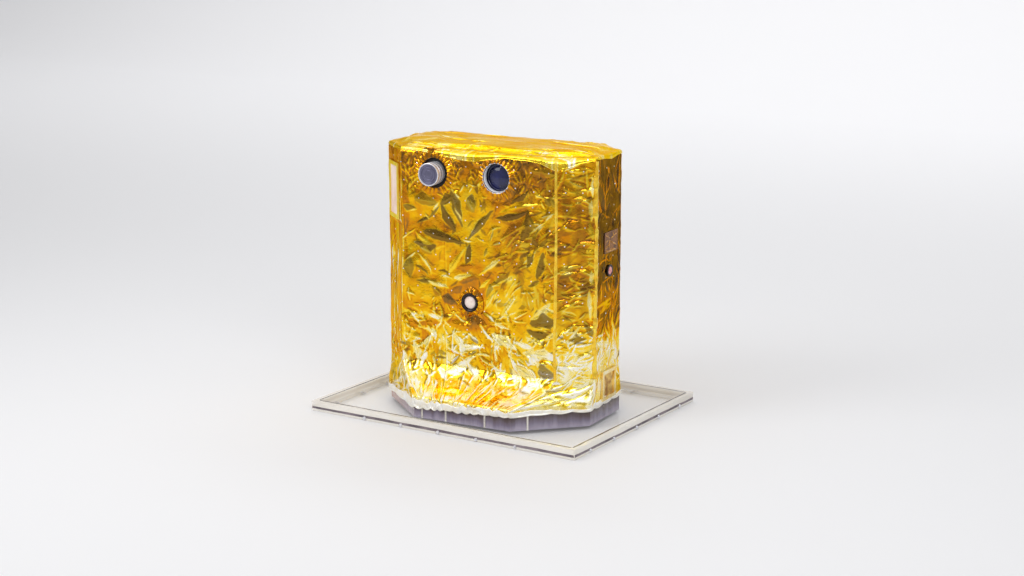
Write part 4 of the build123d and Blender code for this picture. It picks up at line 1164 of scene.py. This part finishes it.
def port_cuff(name, port, relief, material, width, pleats, uneven, seed):
    """The gathered film round a port: rings from inside the hole outwards, over pleats that run out from the axis.

    The first rings turn into the hole. The pleats are straight-sided waves of uneven width that
    fade outwards, and the last ring sinks under the film round it.
    """
    x0, z0, hole = port
    angle = np.linspace(0, 2 * np.pi, 420, endpoint=False)[None, :]
    t = np.concatenate([[-0.12, -0.06, 0.0], np.linspace(0.03, 1, 26)])[:, None]
    radius = hole + 0.3 + width * t.clip(0, None) * (1 + uneven * swell(angle / (2 * np.pi) * 9, t * 0, 9, seed))
    turn = angle / (2 * np.pi)
    walk = turn * pleats + 0.8 * swell(turn * 8, t * 0, 8, seed + 1) + 0.35 * t * swell(turn * 12, t * 2, 12, seed + 2)
    pleat = 1 - 2 * np.abs(np.mod(walk, 1) - 0.5) * 2
    fine = 1 - 2 * np.abs(np.mod(walk * 2.7 + t, 1) - 0.5) * 2
    s = front_place(x0 + radius * np.cos(angle))
    z = z0 + radius * np.sin(angle)
    outer = relief.at(s, z).clip(-3.0, 3.0) - 0.1
    blend = (t.clip(0, 1)) ** 1.2
    strong = (0.6 + 0.4 * swell(turn * 7, t * 0 + 0.5, 7, seed + 3)) * (1 - blend) ** 0.6
    lift = 0.9 * (1 - blend) + outer * blend + 0.35 + 0.85 * pleat * strong + 0.3 * fine * strong
    lift = np.where(t < 0, 0.6 + 30 * t, lift)
    lift = np.where(t >= 1, -1.2, lift)
    points = np.stack([s - BROAD_HALF_FLAT, -HALF_DEPTH - lift, z], axis=-1)
    # Tone of the gathered film: amber, painted paler on the pleats' crests as highlights and deeper in their valleys as
    # shade
    gathered = 0.6 + 0.16 * swell(turn * 16, t * 3, 16, seed + 4) - 0.3 * pleat * strong
    tone = (gathered * (1 - blend) + film_tone(s, z, relief) * blend).clip(0, 1)
    return surface(
        name, points[:, ::-1], material, close=True,
        attributes={"tone": tone[:, ::-1], "shade": (film_shade(s, z, relief) * blend)[:, ::-1]},
        uv=np.stack([s / 100, z / 100], axis=-1)[:, ::-1],
    )


# Finishes

# Colours of the riser from its foot up, with painted light at the foot and painted shade under the hem, and of the film
# by tone, which holds painted highlights and shade
RISER_TONES = ((0.0, "#A8A0B4"), (0.3, "#7C7388"), (0.55, "#61545A"), (0.8, "#4E403C"), (1.0, "#665448"))
FILM_TONES = (
    (0.0, "#FFFDF2"), (0.1, "#FFF0A0"), (0.24, "#FFDA38"), (0.4, "#F9BF10"), (0.6, "#DC8A14"), (0.8, "#876632"), (1.0, "#5E4634"),
)


def gold_film_finish():
    """Metallised film, amber polyimide over aluminium: a mirror under a clear amber layer.

    The eye gets sharp reflections in gold and fine crinkles. Its colour holds painted light: pale
    painted highlights, deeper amber to brown painted shade in the creases and folds, and rows of
    pinholes that let the air out, painted white as glints.
    """
    made, tree, shader = finish_of("gold_polyimide_film")
    where = add(tree, "ShaderNodeTexCoord")
    # The tone attribute carries painted highlights and painted shade
    dense = add(tree, "ShaderNodeAttribute", attribute_name="tone")
    # Blotches 17 mm across, where the amber layer looks thicker
    blotch = add(tree, "ShaderNodeTexNoise", {"Vector": where.outputs["Object"], "Scale": 60.0, "Detail": 4.0})
    swing = add(tree, "ShaderNodeMath", {0: blotch.outputs["Fac"], 1: 0.5, 2: -0.25}, operation="MULTIPLY_ADD")
    amount = add(tree, "ShaderNodeMath", {0: dense.outputs["Fac"], 1: swing.outputs[0]}, operation="ADD")
    tone = add(tree, "ShaderNodeValToRGB", {"Fac": amount.outputs[0]})
    ramp = tone.color_ramp.elements
    ramp[0].position, ramp[1].position = FILM_TONES[0][0], FILM_TONES[-1][0]
    ramp[0].color, ramp[1].color = linear(FILM_TONES[0][1]), linear(FILM_TONES[-1][1])
    for position, colour in FILM_TONES[1:-1]:
        ramp.new(position).color = linear(colour)
    # Crinkles 5 mm across, with sharp lines between them
    crinkle = add(tree, "ShaderNodeTexVoronoi", {"Vector": where.outputs["Object"], "Scale": 190.0}, feature="DISTANCE_TO_EDGE")
    line = add(tree, "ShaderNodeMapRange", {"Value": crinkle.outputs["Distance"], "From Min": 0.0, "From Max": 0.12})
    grain = add(tree, "ShaderNodeTexNoise", {"Vector": where.outputs["Object"], "Scale": 420.0, "Detail": 2.0})
    mixed = add(tree, "ShaderNodeMath", {0: line.outputs["Result"], 1: grain.outputs["Fac"]}, operation="ADD")
    bump = add(tree, "ShaderNodeBump", {"Strength": 0.12, "Distance": 0.0006, "Height": mixed.outputs[0]})
    # Pinholes 26 mm apart and 1.4 mm wide, in rows, each painted white as a glint: a painted highlight
    sheet = add(tree, "ShaderNodeUVMap", uv_map="film")
    pinhole_glints = add(
        tree, "ShaderNodeTexVoronoi",
        {"Vector": sheet.outputs["UV"], "Scale": 3.85, "Randomness": 0.22}, voronoi_dimensions="2D",
    )
    hole = add(tree, "ShaderNodeMath", {0: pinhole_glints.outputs["Distance"], 1: 0.034}, operation="LESS_THAN")
    # Painted shade: leaves darkened to olive brown
    shade = add(tree, "ShaderNodeAttribute", attribute_name="shade")
    painted_shade_colour = add(
        tree, "ShaderNodeMix",
        {"Factor": shade.outputs["Fac"], "A": tone.outputs["Color"], "B": linear("#6E5026")}, data_type="RGBA",
    )
    colour = add(
        tree, "ShaderNodeMix",
        {"Factor": hole.outputs[0], "A": painted_shade_colour.outputs["Result"], "B": linear("#FFFFFF")}, data_type="RGBA",
    )
    tree.links.new(colour.outputs["Result"], shader.inputs["Base Color"])
    tree.links.new(bump.outputs["Normal"], shader.inputs["Normal"])
    # Where the tone is painted pale as a highlight, the film is rougher and less metallic
    painted_highlight_share = add(tree, "ShaderNodeMapRange", {"Value": amount.outputs[0], "From Min": 0.24, "From Max": 0.06, "To Min": 0.0, "To Max": 0.4})
    mirror = add(tree, "ShaderNodeMath", {0: 1.0, 1: painted_highlight_share.outputs["Result"]}, operation="SUBTRACT")
    rough = add(tree, "ShaderNodeMath", {0: painted_highlight_share.outputs["Result"], 1: 0.5, 2: 0.1}, operation="MULTIPLY_ADD")
    tree.links.new(mirror.outputs[0], shader.inputs["Metallic"])
    tree.links.new(rough.outputs[0], shader.inputs["Roughness"])
    shader.inputs["Specular Tint"].default_value = linear("#FFD430")
    shader.inputs["Coat Weight"].default_value = 0.08
    shader.inputs["Coat Roughness"].default_value = 0.06
    return made


def plain_finish(name, colour, other, metallic, roughness, patch_mm, bump_mm, depth=0.1, coat=0.0, tint="#FFFFFF"):
    """A finish of one colour with soft patches of another and a fine bump, both sized in millimetres."""
    made, tree, shader = finish_of(name)
    where = add(tree, "ShaderNodeTexCoord")
    patch = add(tree, "ShaderNodeTexNoise", {"Vector": where.outputs["Object"], "Scale": 1000 / patch_mm, "Detail": 3.0})
    tone = add(tree, "ShaderNodeValToRGB", {"Fac": patch.outputs["Fac"]})
    tone.color_ramp.elements[0].position = 0.35
    tone.color_ramp.elements[0].color = linear(colour)
    tone.color_ramp.elements[1].position = 0.65
    tone.color_ramp.elements[1].color = linear(other)
    grain = add(tree, "ShaderNodeTexNoise", {"Vector": where.outputs["Object"], "Scale": 1000 / bump_mm, "Detail": 2.0})
    bump = add(tree, "ShaderNodeBump", {"Strength": depth, "Distance": 0.0003, "Height": grain.outputs["Fac"]})
    tree.links.new(tone.outputs["Color"], shader.inputs["Base Color"])
    tree.links.new(bump.outputs["Normal"], shader.inputs["Normal"])
    shader.inputs["Metallic"].default_value = metallic
    shader.inputs["Roughness"].default_value = roughness
    shader.inputs["Coat Weight"].default_value = coat
    shader.inputs["Specular Tint"].default_value = linear(tint)
    return made


def clear_acrylic_finish(name, colour, opacity):
    """Cast acrylic sheet, polished: clear with a warm cast, and fine scratches that catch the light."""
    made, tree, shader = finish_of(name)
    where = add(tree, "ShaderNodeTexCoord")
    marks = add(tree, "ShaderNodeTexNoise", {"Vector": where.outputs["Object"], "Scale": 160.0, "Detail": 4.0})
    rough = add(tree, "ShaderNodeMapRange", {"Value": marks.outputs["Fac"], "From Min": 0.4, "From Max": 0.8, "To Min": 0.03, "To Max": 0.14})
    tree.links.new(rough.outputs["Result"], shader.inputs["Roughness"])
    shader.inputs["Base Color"].default_value = linear(colour)
    shader.inputs["IOR"].default_value = 1.49
    shader.inputs["Alpha"].default_value = opacity
    return made


def smoked_acrylic_finish():
    """Smoked acrylic panels, polished and glued: a gloss over soft upright streaks.

    Its colour is painted light: warm brown painted shade under the hem, blue violet where the tray
    shines into the foot, and a mauve painted reflection towards the left.
    """
    made, tree, shader = finish_of("smoked_acrylic")
    where = add(tree, "ShaderNodeTexCoord")
    place = add(tree, "ShaderNodeSeparateXYZ", {"Vector": where.outputs["Object"]})
    # Streaks 12 mm wide that run upwards
    stretched = add(tree, "ShaderNodeMapping", {"Vector": where.outputs["Object"], "Scale": (80.0, 80.0, 14.0)})
    streak = add(tree, "ShaderNodeTexNoise", {"Vector": stretched.outputs["Vector"], "Scale": 1.0, "Detail": 3.0})
    # Painted light by height: lighter blue violet at the foot, warm brown painted shade under the hem
    height = add(tree, "ShaderNodeMapRange", {"Value": place.outputs["Z"], "From Min": 0.005, "From Max": 0.034})
    mixed = add(tree, "ShaderNodeMath", {0: streak.outputs["Fac"], 1: 0.9, 2: height.outputs["Result"]}, operation="MULTIPLY_ADD")
    level = add(tree, "ShaderNodeMath", {0: mixed.outputs[0], 1: 0.45}, operation="SUBTRACT")
    tone = add(tree, "ShaderNodeValToRGB", {"Fac": level.outputs[0]})
    ramp = tone.color_ramp.elements
    ramp[0].position, ramp[1].position = RISER_TONES[0][0], RISER_TONES[-1][0]
    ramp[0].color, ramp[1].color = linear(RISER_TONES[0][1]), linear(RISER_TONES[-1][1])
    for position, colour in RISER_TONES[1:-1]:
        ramp.new(position).color = linear(colour)
    # Painted reflection: a mauve cast towards the left
    left = add(tree, "ShaderNodeMapRange", {"Value": place.outputs["X"], "From Min": -0.07, "From Max": -0.15})
    colour = add(
        tree, "ShaderNodeMix",
        {"Factor": left.outputs["Result"], "A": tone.outputs["Color"], "B": linear("#B4948E")}, data_type="RGBA",
    )
    tree.links.new(colour.outputs["Result"], shader.inputs["Base Color"])
    shader.inputs["Roughness"].default_value = 0.06
    shader.inputs["IOR"].default_value = 1.49
    shader.inputs["Coat Weight"].default_value = 0.5
    return made


def dress(material, *nodes):
    """Gives a frame node's own surfaces a finish."""
    for name in nodes:
        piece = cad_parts[name]
        for slot in piece.material_slots:
            slot.material = material


# The film and its edges
gold = gold_film_finish()
# Silver side of the film, painted near-white: partly its own colour and partly painted light from the lit floor below
silver = plain_finish("aluminised_film_silver_side_painted_light", "#FFFFFC", "#F8F2E2", 0.3, 0.34, 9, 2.5, 0.25)
seam_gold = plain_finish("gold_film_tape", "#FFE04C", "#FBC428", 0.7, 0.2, 12, 4, 0.12, 0.2)
sides = film_relief()
crown = top_relief()
side_film(sides, gold)
top_film(crown, sides, gold)
hem_roll(sides, silver)
seam_beads(sides, seam_gold)
port_cuff("film_cuff_left", LEFT_PORT, sides, gold, 13.0, 26, 0.3, 110)
port_cuff("film_cuff_right", RIGHT_PORT, sides, gold, 12.0, 24, 0.3, 120)
port_cuff("film_cuff_centre", CENTRE_PORT, sides, gold, 7.5, 13, 0.5, 130)

# Plain finishes of the fittings
core_alloy = plain_finish("machined_aluminium", "#A9ABAE", "#9C9EA2", 1.0, 0.35, 30, 1.5)
bright_alloy = plain_finish("turned_aluminium", "#EAEAF0", "#D2D3DC", 0.55, 0.3, 12, 0.9, 0.08)
grey_anodised = plain_finish("blue_grey_anodised_aluminium", "#6C6A82", "#7C7A94", 0.7, 0.3, 14, 0.8, 0.08)
black_anodised = plain_finish("black_anodised_aluminium", "#0C0D12", "#15161C", 0.3, 0.35, 10, 0.8)
dark_alloy = plain_finish("dark_anodised_aluminium", "#3A3436", "#262226", 0.8, 0.3, 6, 0.8)
white_alloy = plain_finish("white_enamelled_tube", "#E8EAF0", "#CDD0DC", 0.0, 0.3, 14, 1.2)
lens = plain_finish("coated_lens_glass", "#14162E", "#24285A", 0.0, 0.05, 22, 5.0, 0.0, 0.1)
# A white disc with a pink cast that is a painted reflection
diffuser = plain_finish("diffuser_pink_painted_reflection", "#F8EAE0", "#E8CCC6", 0.0, 0.35, 7, 1.5)
panel = plain_finish("white_printed_panel", "#F6E0D2", "#EAC8B4", 0.0, 0.4, 22, 1.5)
window_gold = plain_finish("smooth_gold_tape", "#FFF07C", "#FFDC4C", 1.0, 0.3, 12, 3, 0.15, 0.0, "#FFF0A0")
hatch_gold = plain_finish("pale_gold_film_tape", "#FFF6CC", "#FFD868", 0.8, 0.24, 12, 3, 0.25, 0.1)
hatch_amber = plain_finish("amber_film", "#FBD46C", "#B07A30", 0.9, 0.22, 12, 4, 0.4, 0.1)
# The patch's ridges are coloured lighter than the patch, as painted highlights along its creases
patch_crease_highlight = plain_finish("brown_film_crease_painted_highlight", "#D29A48", "#A8743A", 0.9, 0.26, 8, 3, 0.2, 0.1)
patch_brown = plain_finish("creased_brown_film", "#A06A30", "#6A4426", 1.0, 0.25, 12, 3, 0.3, 0.1)
# The cap's pink is a painted reflection
pink = plain_finish("moulded_cap_pink_painted_reflection", "#F0A8A0", "#DC8484", 0.0, 0.3, 5, 1.5, 0.1, 0.4)
smoked = smoked_acrylic_finish()
# White strips on the riser's upright edges: strips of their own, coloured white as painted highlights of those edges
strip_painted_highlight = plain_finish("polished_strip", "#F2F0EC", "#D8D4CC", 0.4, 0.2, 5, 1.2)
steel = plain_finish("polished_steel_screw", "#F0F0F4", "#D4D4DC", 1.0, 0.2, 4, 0.8)
clear_sheet = clear_acrylic_finish("polished_clear_acrylic_sheet", "#FDFCFA", 0.16)
clear_rail = clear_acrylic_finish("polished_clear_acrylic_rail", "#FFFBF4", 0.6)
# Painted shade: dark lines on the clear rails, where refraction shows dark edges
rail_line_painted_shade = plain_finish("rail_edge_painted_shade", "#5C504A", "#443A38", 0.0, 0.25, 22, 3.0)
rail_band_painted_shade = plain_finish("sheet_edge_painted_through_the_rail", "#8A7E84", "#5E545C", 0.0, 0.2, 26, 3.0)

dress(core_alloy, "body_core")
dress(smoked, "riser")
dress(strip_painted_highlight, "riser_strips_front", "riser_strips_front_right", "riser_strips_back", "riser_strips_back_left")
dress(clear_sheet, "tray_floor")
dress(clear_rail, "tray_rail_front", "tray_rail_back", "tray_rail_left", "tray_rail_right")
tray_painted_edges(rail_line_painted_shade, rail_band_painted_shade)
dress(steel, "tray_screws_front", "tray_screws_back", "tray_screws_left", "tray_screws_right")
dress(window_gold, "window_frame")
dress(panel, "window_panel")
dress(dark_alloy, "button_ring")
dress(pink, "button")
dress(patch_brown, "side_patch")
patch_ridges(patch_crease_highlight)
dress(hatch_gold, "hatch_frame")
dress(hatch_amber, "hatch_plate")

# The barrel sits a little low and left in its hole
BARREL_CENTRE = (LEFT_PORT[0] - 0.8, LEFT_PORT[1] - 0.6)

# Left port: radius and reach of each turned piece's profile
barrel = turned(
    "left_barrel",
    ((12.6, 3.0), (12.6, 18.6), (14.6, 18.6), (15.1, 20.0), (16.4, 19.6), (16.4, 15.4), (15.8, 15.0), (15.8, 13.4),
     (16.4, 13.0), (16.4, 8.4), (15.8, 8.0), (15.8, 6.6), (16.2, 6.2), (16.2, 0.0), (14.0, 0.0)),
    BARREL_CENTRE, bright_alloy,
)
cap = turned(
    "left_cap",
    ((0, 18.9), (5.6, 18.9), (6.0, 18.3), (6.8, 18.3), (7.2, 18.9), (10.2, 18.9), (10.6, 18.0), (11.4, 18.0),
     (11.8, 19.0), (14.4, 19.0), (14.6, 18.0), (14.6, 3.2), (0, 3.2)),
    BARREL_CENTRE, grey_anodised,
)
collar = turned(
    "left_collar",
    ((16.3, 0.2), (16.3, 1.5), (18.6, 1.5), (18.9, 1.1), (21.3, 1.1), (21.3, 0.2)),
    LEFT_PORT, black_anodised,
)
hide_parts("left_port_barrel")
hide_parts("left_port_cap")
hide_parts("left_port_collar")

# Right port
tube = turned(
    "right_tube",
    ((19.2, -30.0), (19.4, -1.0), (19.8, 0.0), (20.0, 3.2), (20.2, 3.5), (20.6, 3.2), (20.6, -30.0)),
    RIGHT_PORT, black_anodised,
)
crescent_lip(white_alloy)
lens_piece = turned(
    "right_lens",
    ((0, -1.2), (5, -1.5), (10, -2.3), (14.0, -3.5), (17.0, -4.9), (17.6, -4.2), (19.1, -4.0), (19.1, -29.8), (0, -29.8)),
    RIGHT_PORT, lens,
)
rim = turned(
    "right_rim",
    ((20.7, 4.0), (20.7, 5.0), (21.9, 5.2), (22.3, 4.0)),
    RIGHT_PORT, bright_alloy,
)
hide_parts("right_port_tube")
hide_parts("right_port_lens")
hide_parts("right_port_rim")

# Centre port
ring = turned(
    "centre_ring",
    ((9.6, 0.2), (9.6, 5.2), (10.2, 6.0), (12.2, 7.0), (13.2, 6.2), (13.2, 0.2)),
    CENTRE_PORT, dark_alloy,
)
disc = turned(
    "centre_disc",
    ((0, 6.0), (3, 5.9), (6, 5.3), (8.4, 4.3), (9.3, 3.4), (9.3, 0.2), (0, 0.2)),
    CENTRE_PORT, diffuser,
)
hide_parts("centre_port_ring")
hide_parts("centre_port_disc")


# Floor, backdrop, lights and camera

def stage_finish():
    """Matt painted board, plain and pale."""
    made, tree, shader = finish_of("pale_painted_board")
    shader.inputs["Base Color"].default_value = linear("#ECECEE")
    shader.inputs["Roughness"].default_value = 0.75
    return made


def sweep():
    """A floor that turns up into a backdrop behind: a straight run, a quarter round and a wall, carried sideways."""
    turn = np.linspace(0, np.pi / 2, 24)
    y = np.concatenate([[-5000.0], np.linspace(-2000, 3000, 6), 3000 + 1500 * np.sin(turn[1:]), [4500]])
    z = np.concatenate([[0.0], np.zeros(6), 1500 - 1500 * np.cos(turn[1:]), [5000]])
    x = np.array([-9000.0, 9000.0])
    points = np.stack([x[None, :] + 0 * y[:, None], y[:, None] + 0 * x, z[:, None] + 0 * x], axis=-1)
    mesh = bpy.data.meshes.new("floor")
    rows = len(y)
    index = np.arange(rows * 2).reshape(rows, 2)
    quads = np.stack([index[:-1, 0], index[:-1, 1], index[1:, 1], index[1:, 0]], axis=-1)
    mesh.from_pydata((points.reshape(-1, 3) * MM).tolist(), [], quads.tolist())
    mesh.shade_smooth()
    mesh.materials.append(stage_finish())
    made = bpy.data.objects.new("floor", mesh)
    bpy.context.scene.collection.objects.link(made)
    made.location.z = -0.0005
    return made


sweep()

# Softboxes, those in front with grids: name, place, aim, width, height, power, spread in degrees
LIGHTS = (
    ("overhead", (0.1, -0.7, 1.6), (0.1, -0.7, 0.0), 3.0, 2.4, 14.0, 180),
    ("front_left", (-1.3, -1.7, 1.5), (0.0, -0.1, 0.2), 1.2, 1.2, 5.4, 100),
    ("front_right", (2.0, -1.5, 1.5), (0.0, 0.0, 0.2), 1.0, 1.2, 3.8, 100),
    ("backdrop", (-0.8, 3.0, 3.2), (-0.8, 3.6, 0.0), 6.0, 2.4, 66.0, 150),
)
for name, place, aim, width, height, power, spread in LIGHTS:
    lamp = bpy.data.lights.new(name, "AREA")
    lamp.shape = "RECTANGLE"
    lamp.size = width
    lamp.size_y = height
    lamp.energy = power
    lamp.spread = math.radians(spread)
    made = bpy.data.objects.new(name, lamp)
    made.location = place
    made.rotation_euler = (Vector(aim) - Vector(place)).to_track_quat("-Z", "Y").to_euler()
    bpy.context.scene.collection.objects.link(made)

world = bpy.data.worlds.new("studio")
world.use_nodes = True
world.node_tree.nodes["Background"].inputs["Color"].default_value = (1.0, 1.0, 1.0, 1.0)
world.node_tree.nodes["Background"].inputs["Strength"].default_value = 0.46
bpy.context.scene.world = world

camera = bpy.data.objects.new("camera", bpy.data.cameras.new("camera"))
camera.data.lens = LENS
camera.data.sensor_width = SENSOR
camera.data.clip_end = 60.0
camera.location = CAMERA_PLACE
camera.rotation_euler = Vector(CAMERA_AIM).to_track_quat("-Z", "Y").to_euler()
bpy.context.scene.collection.objects.link(camera)
bpy.context.scene.camera = camera
bpy.context.scene.view_settings.view_transform = "Standard"
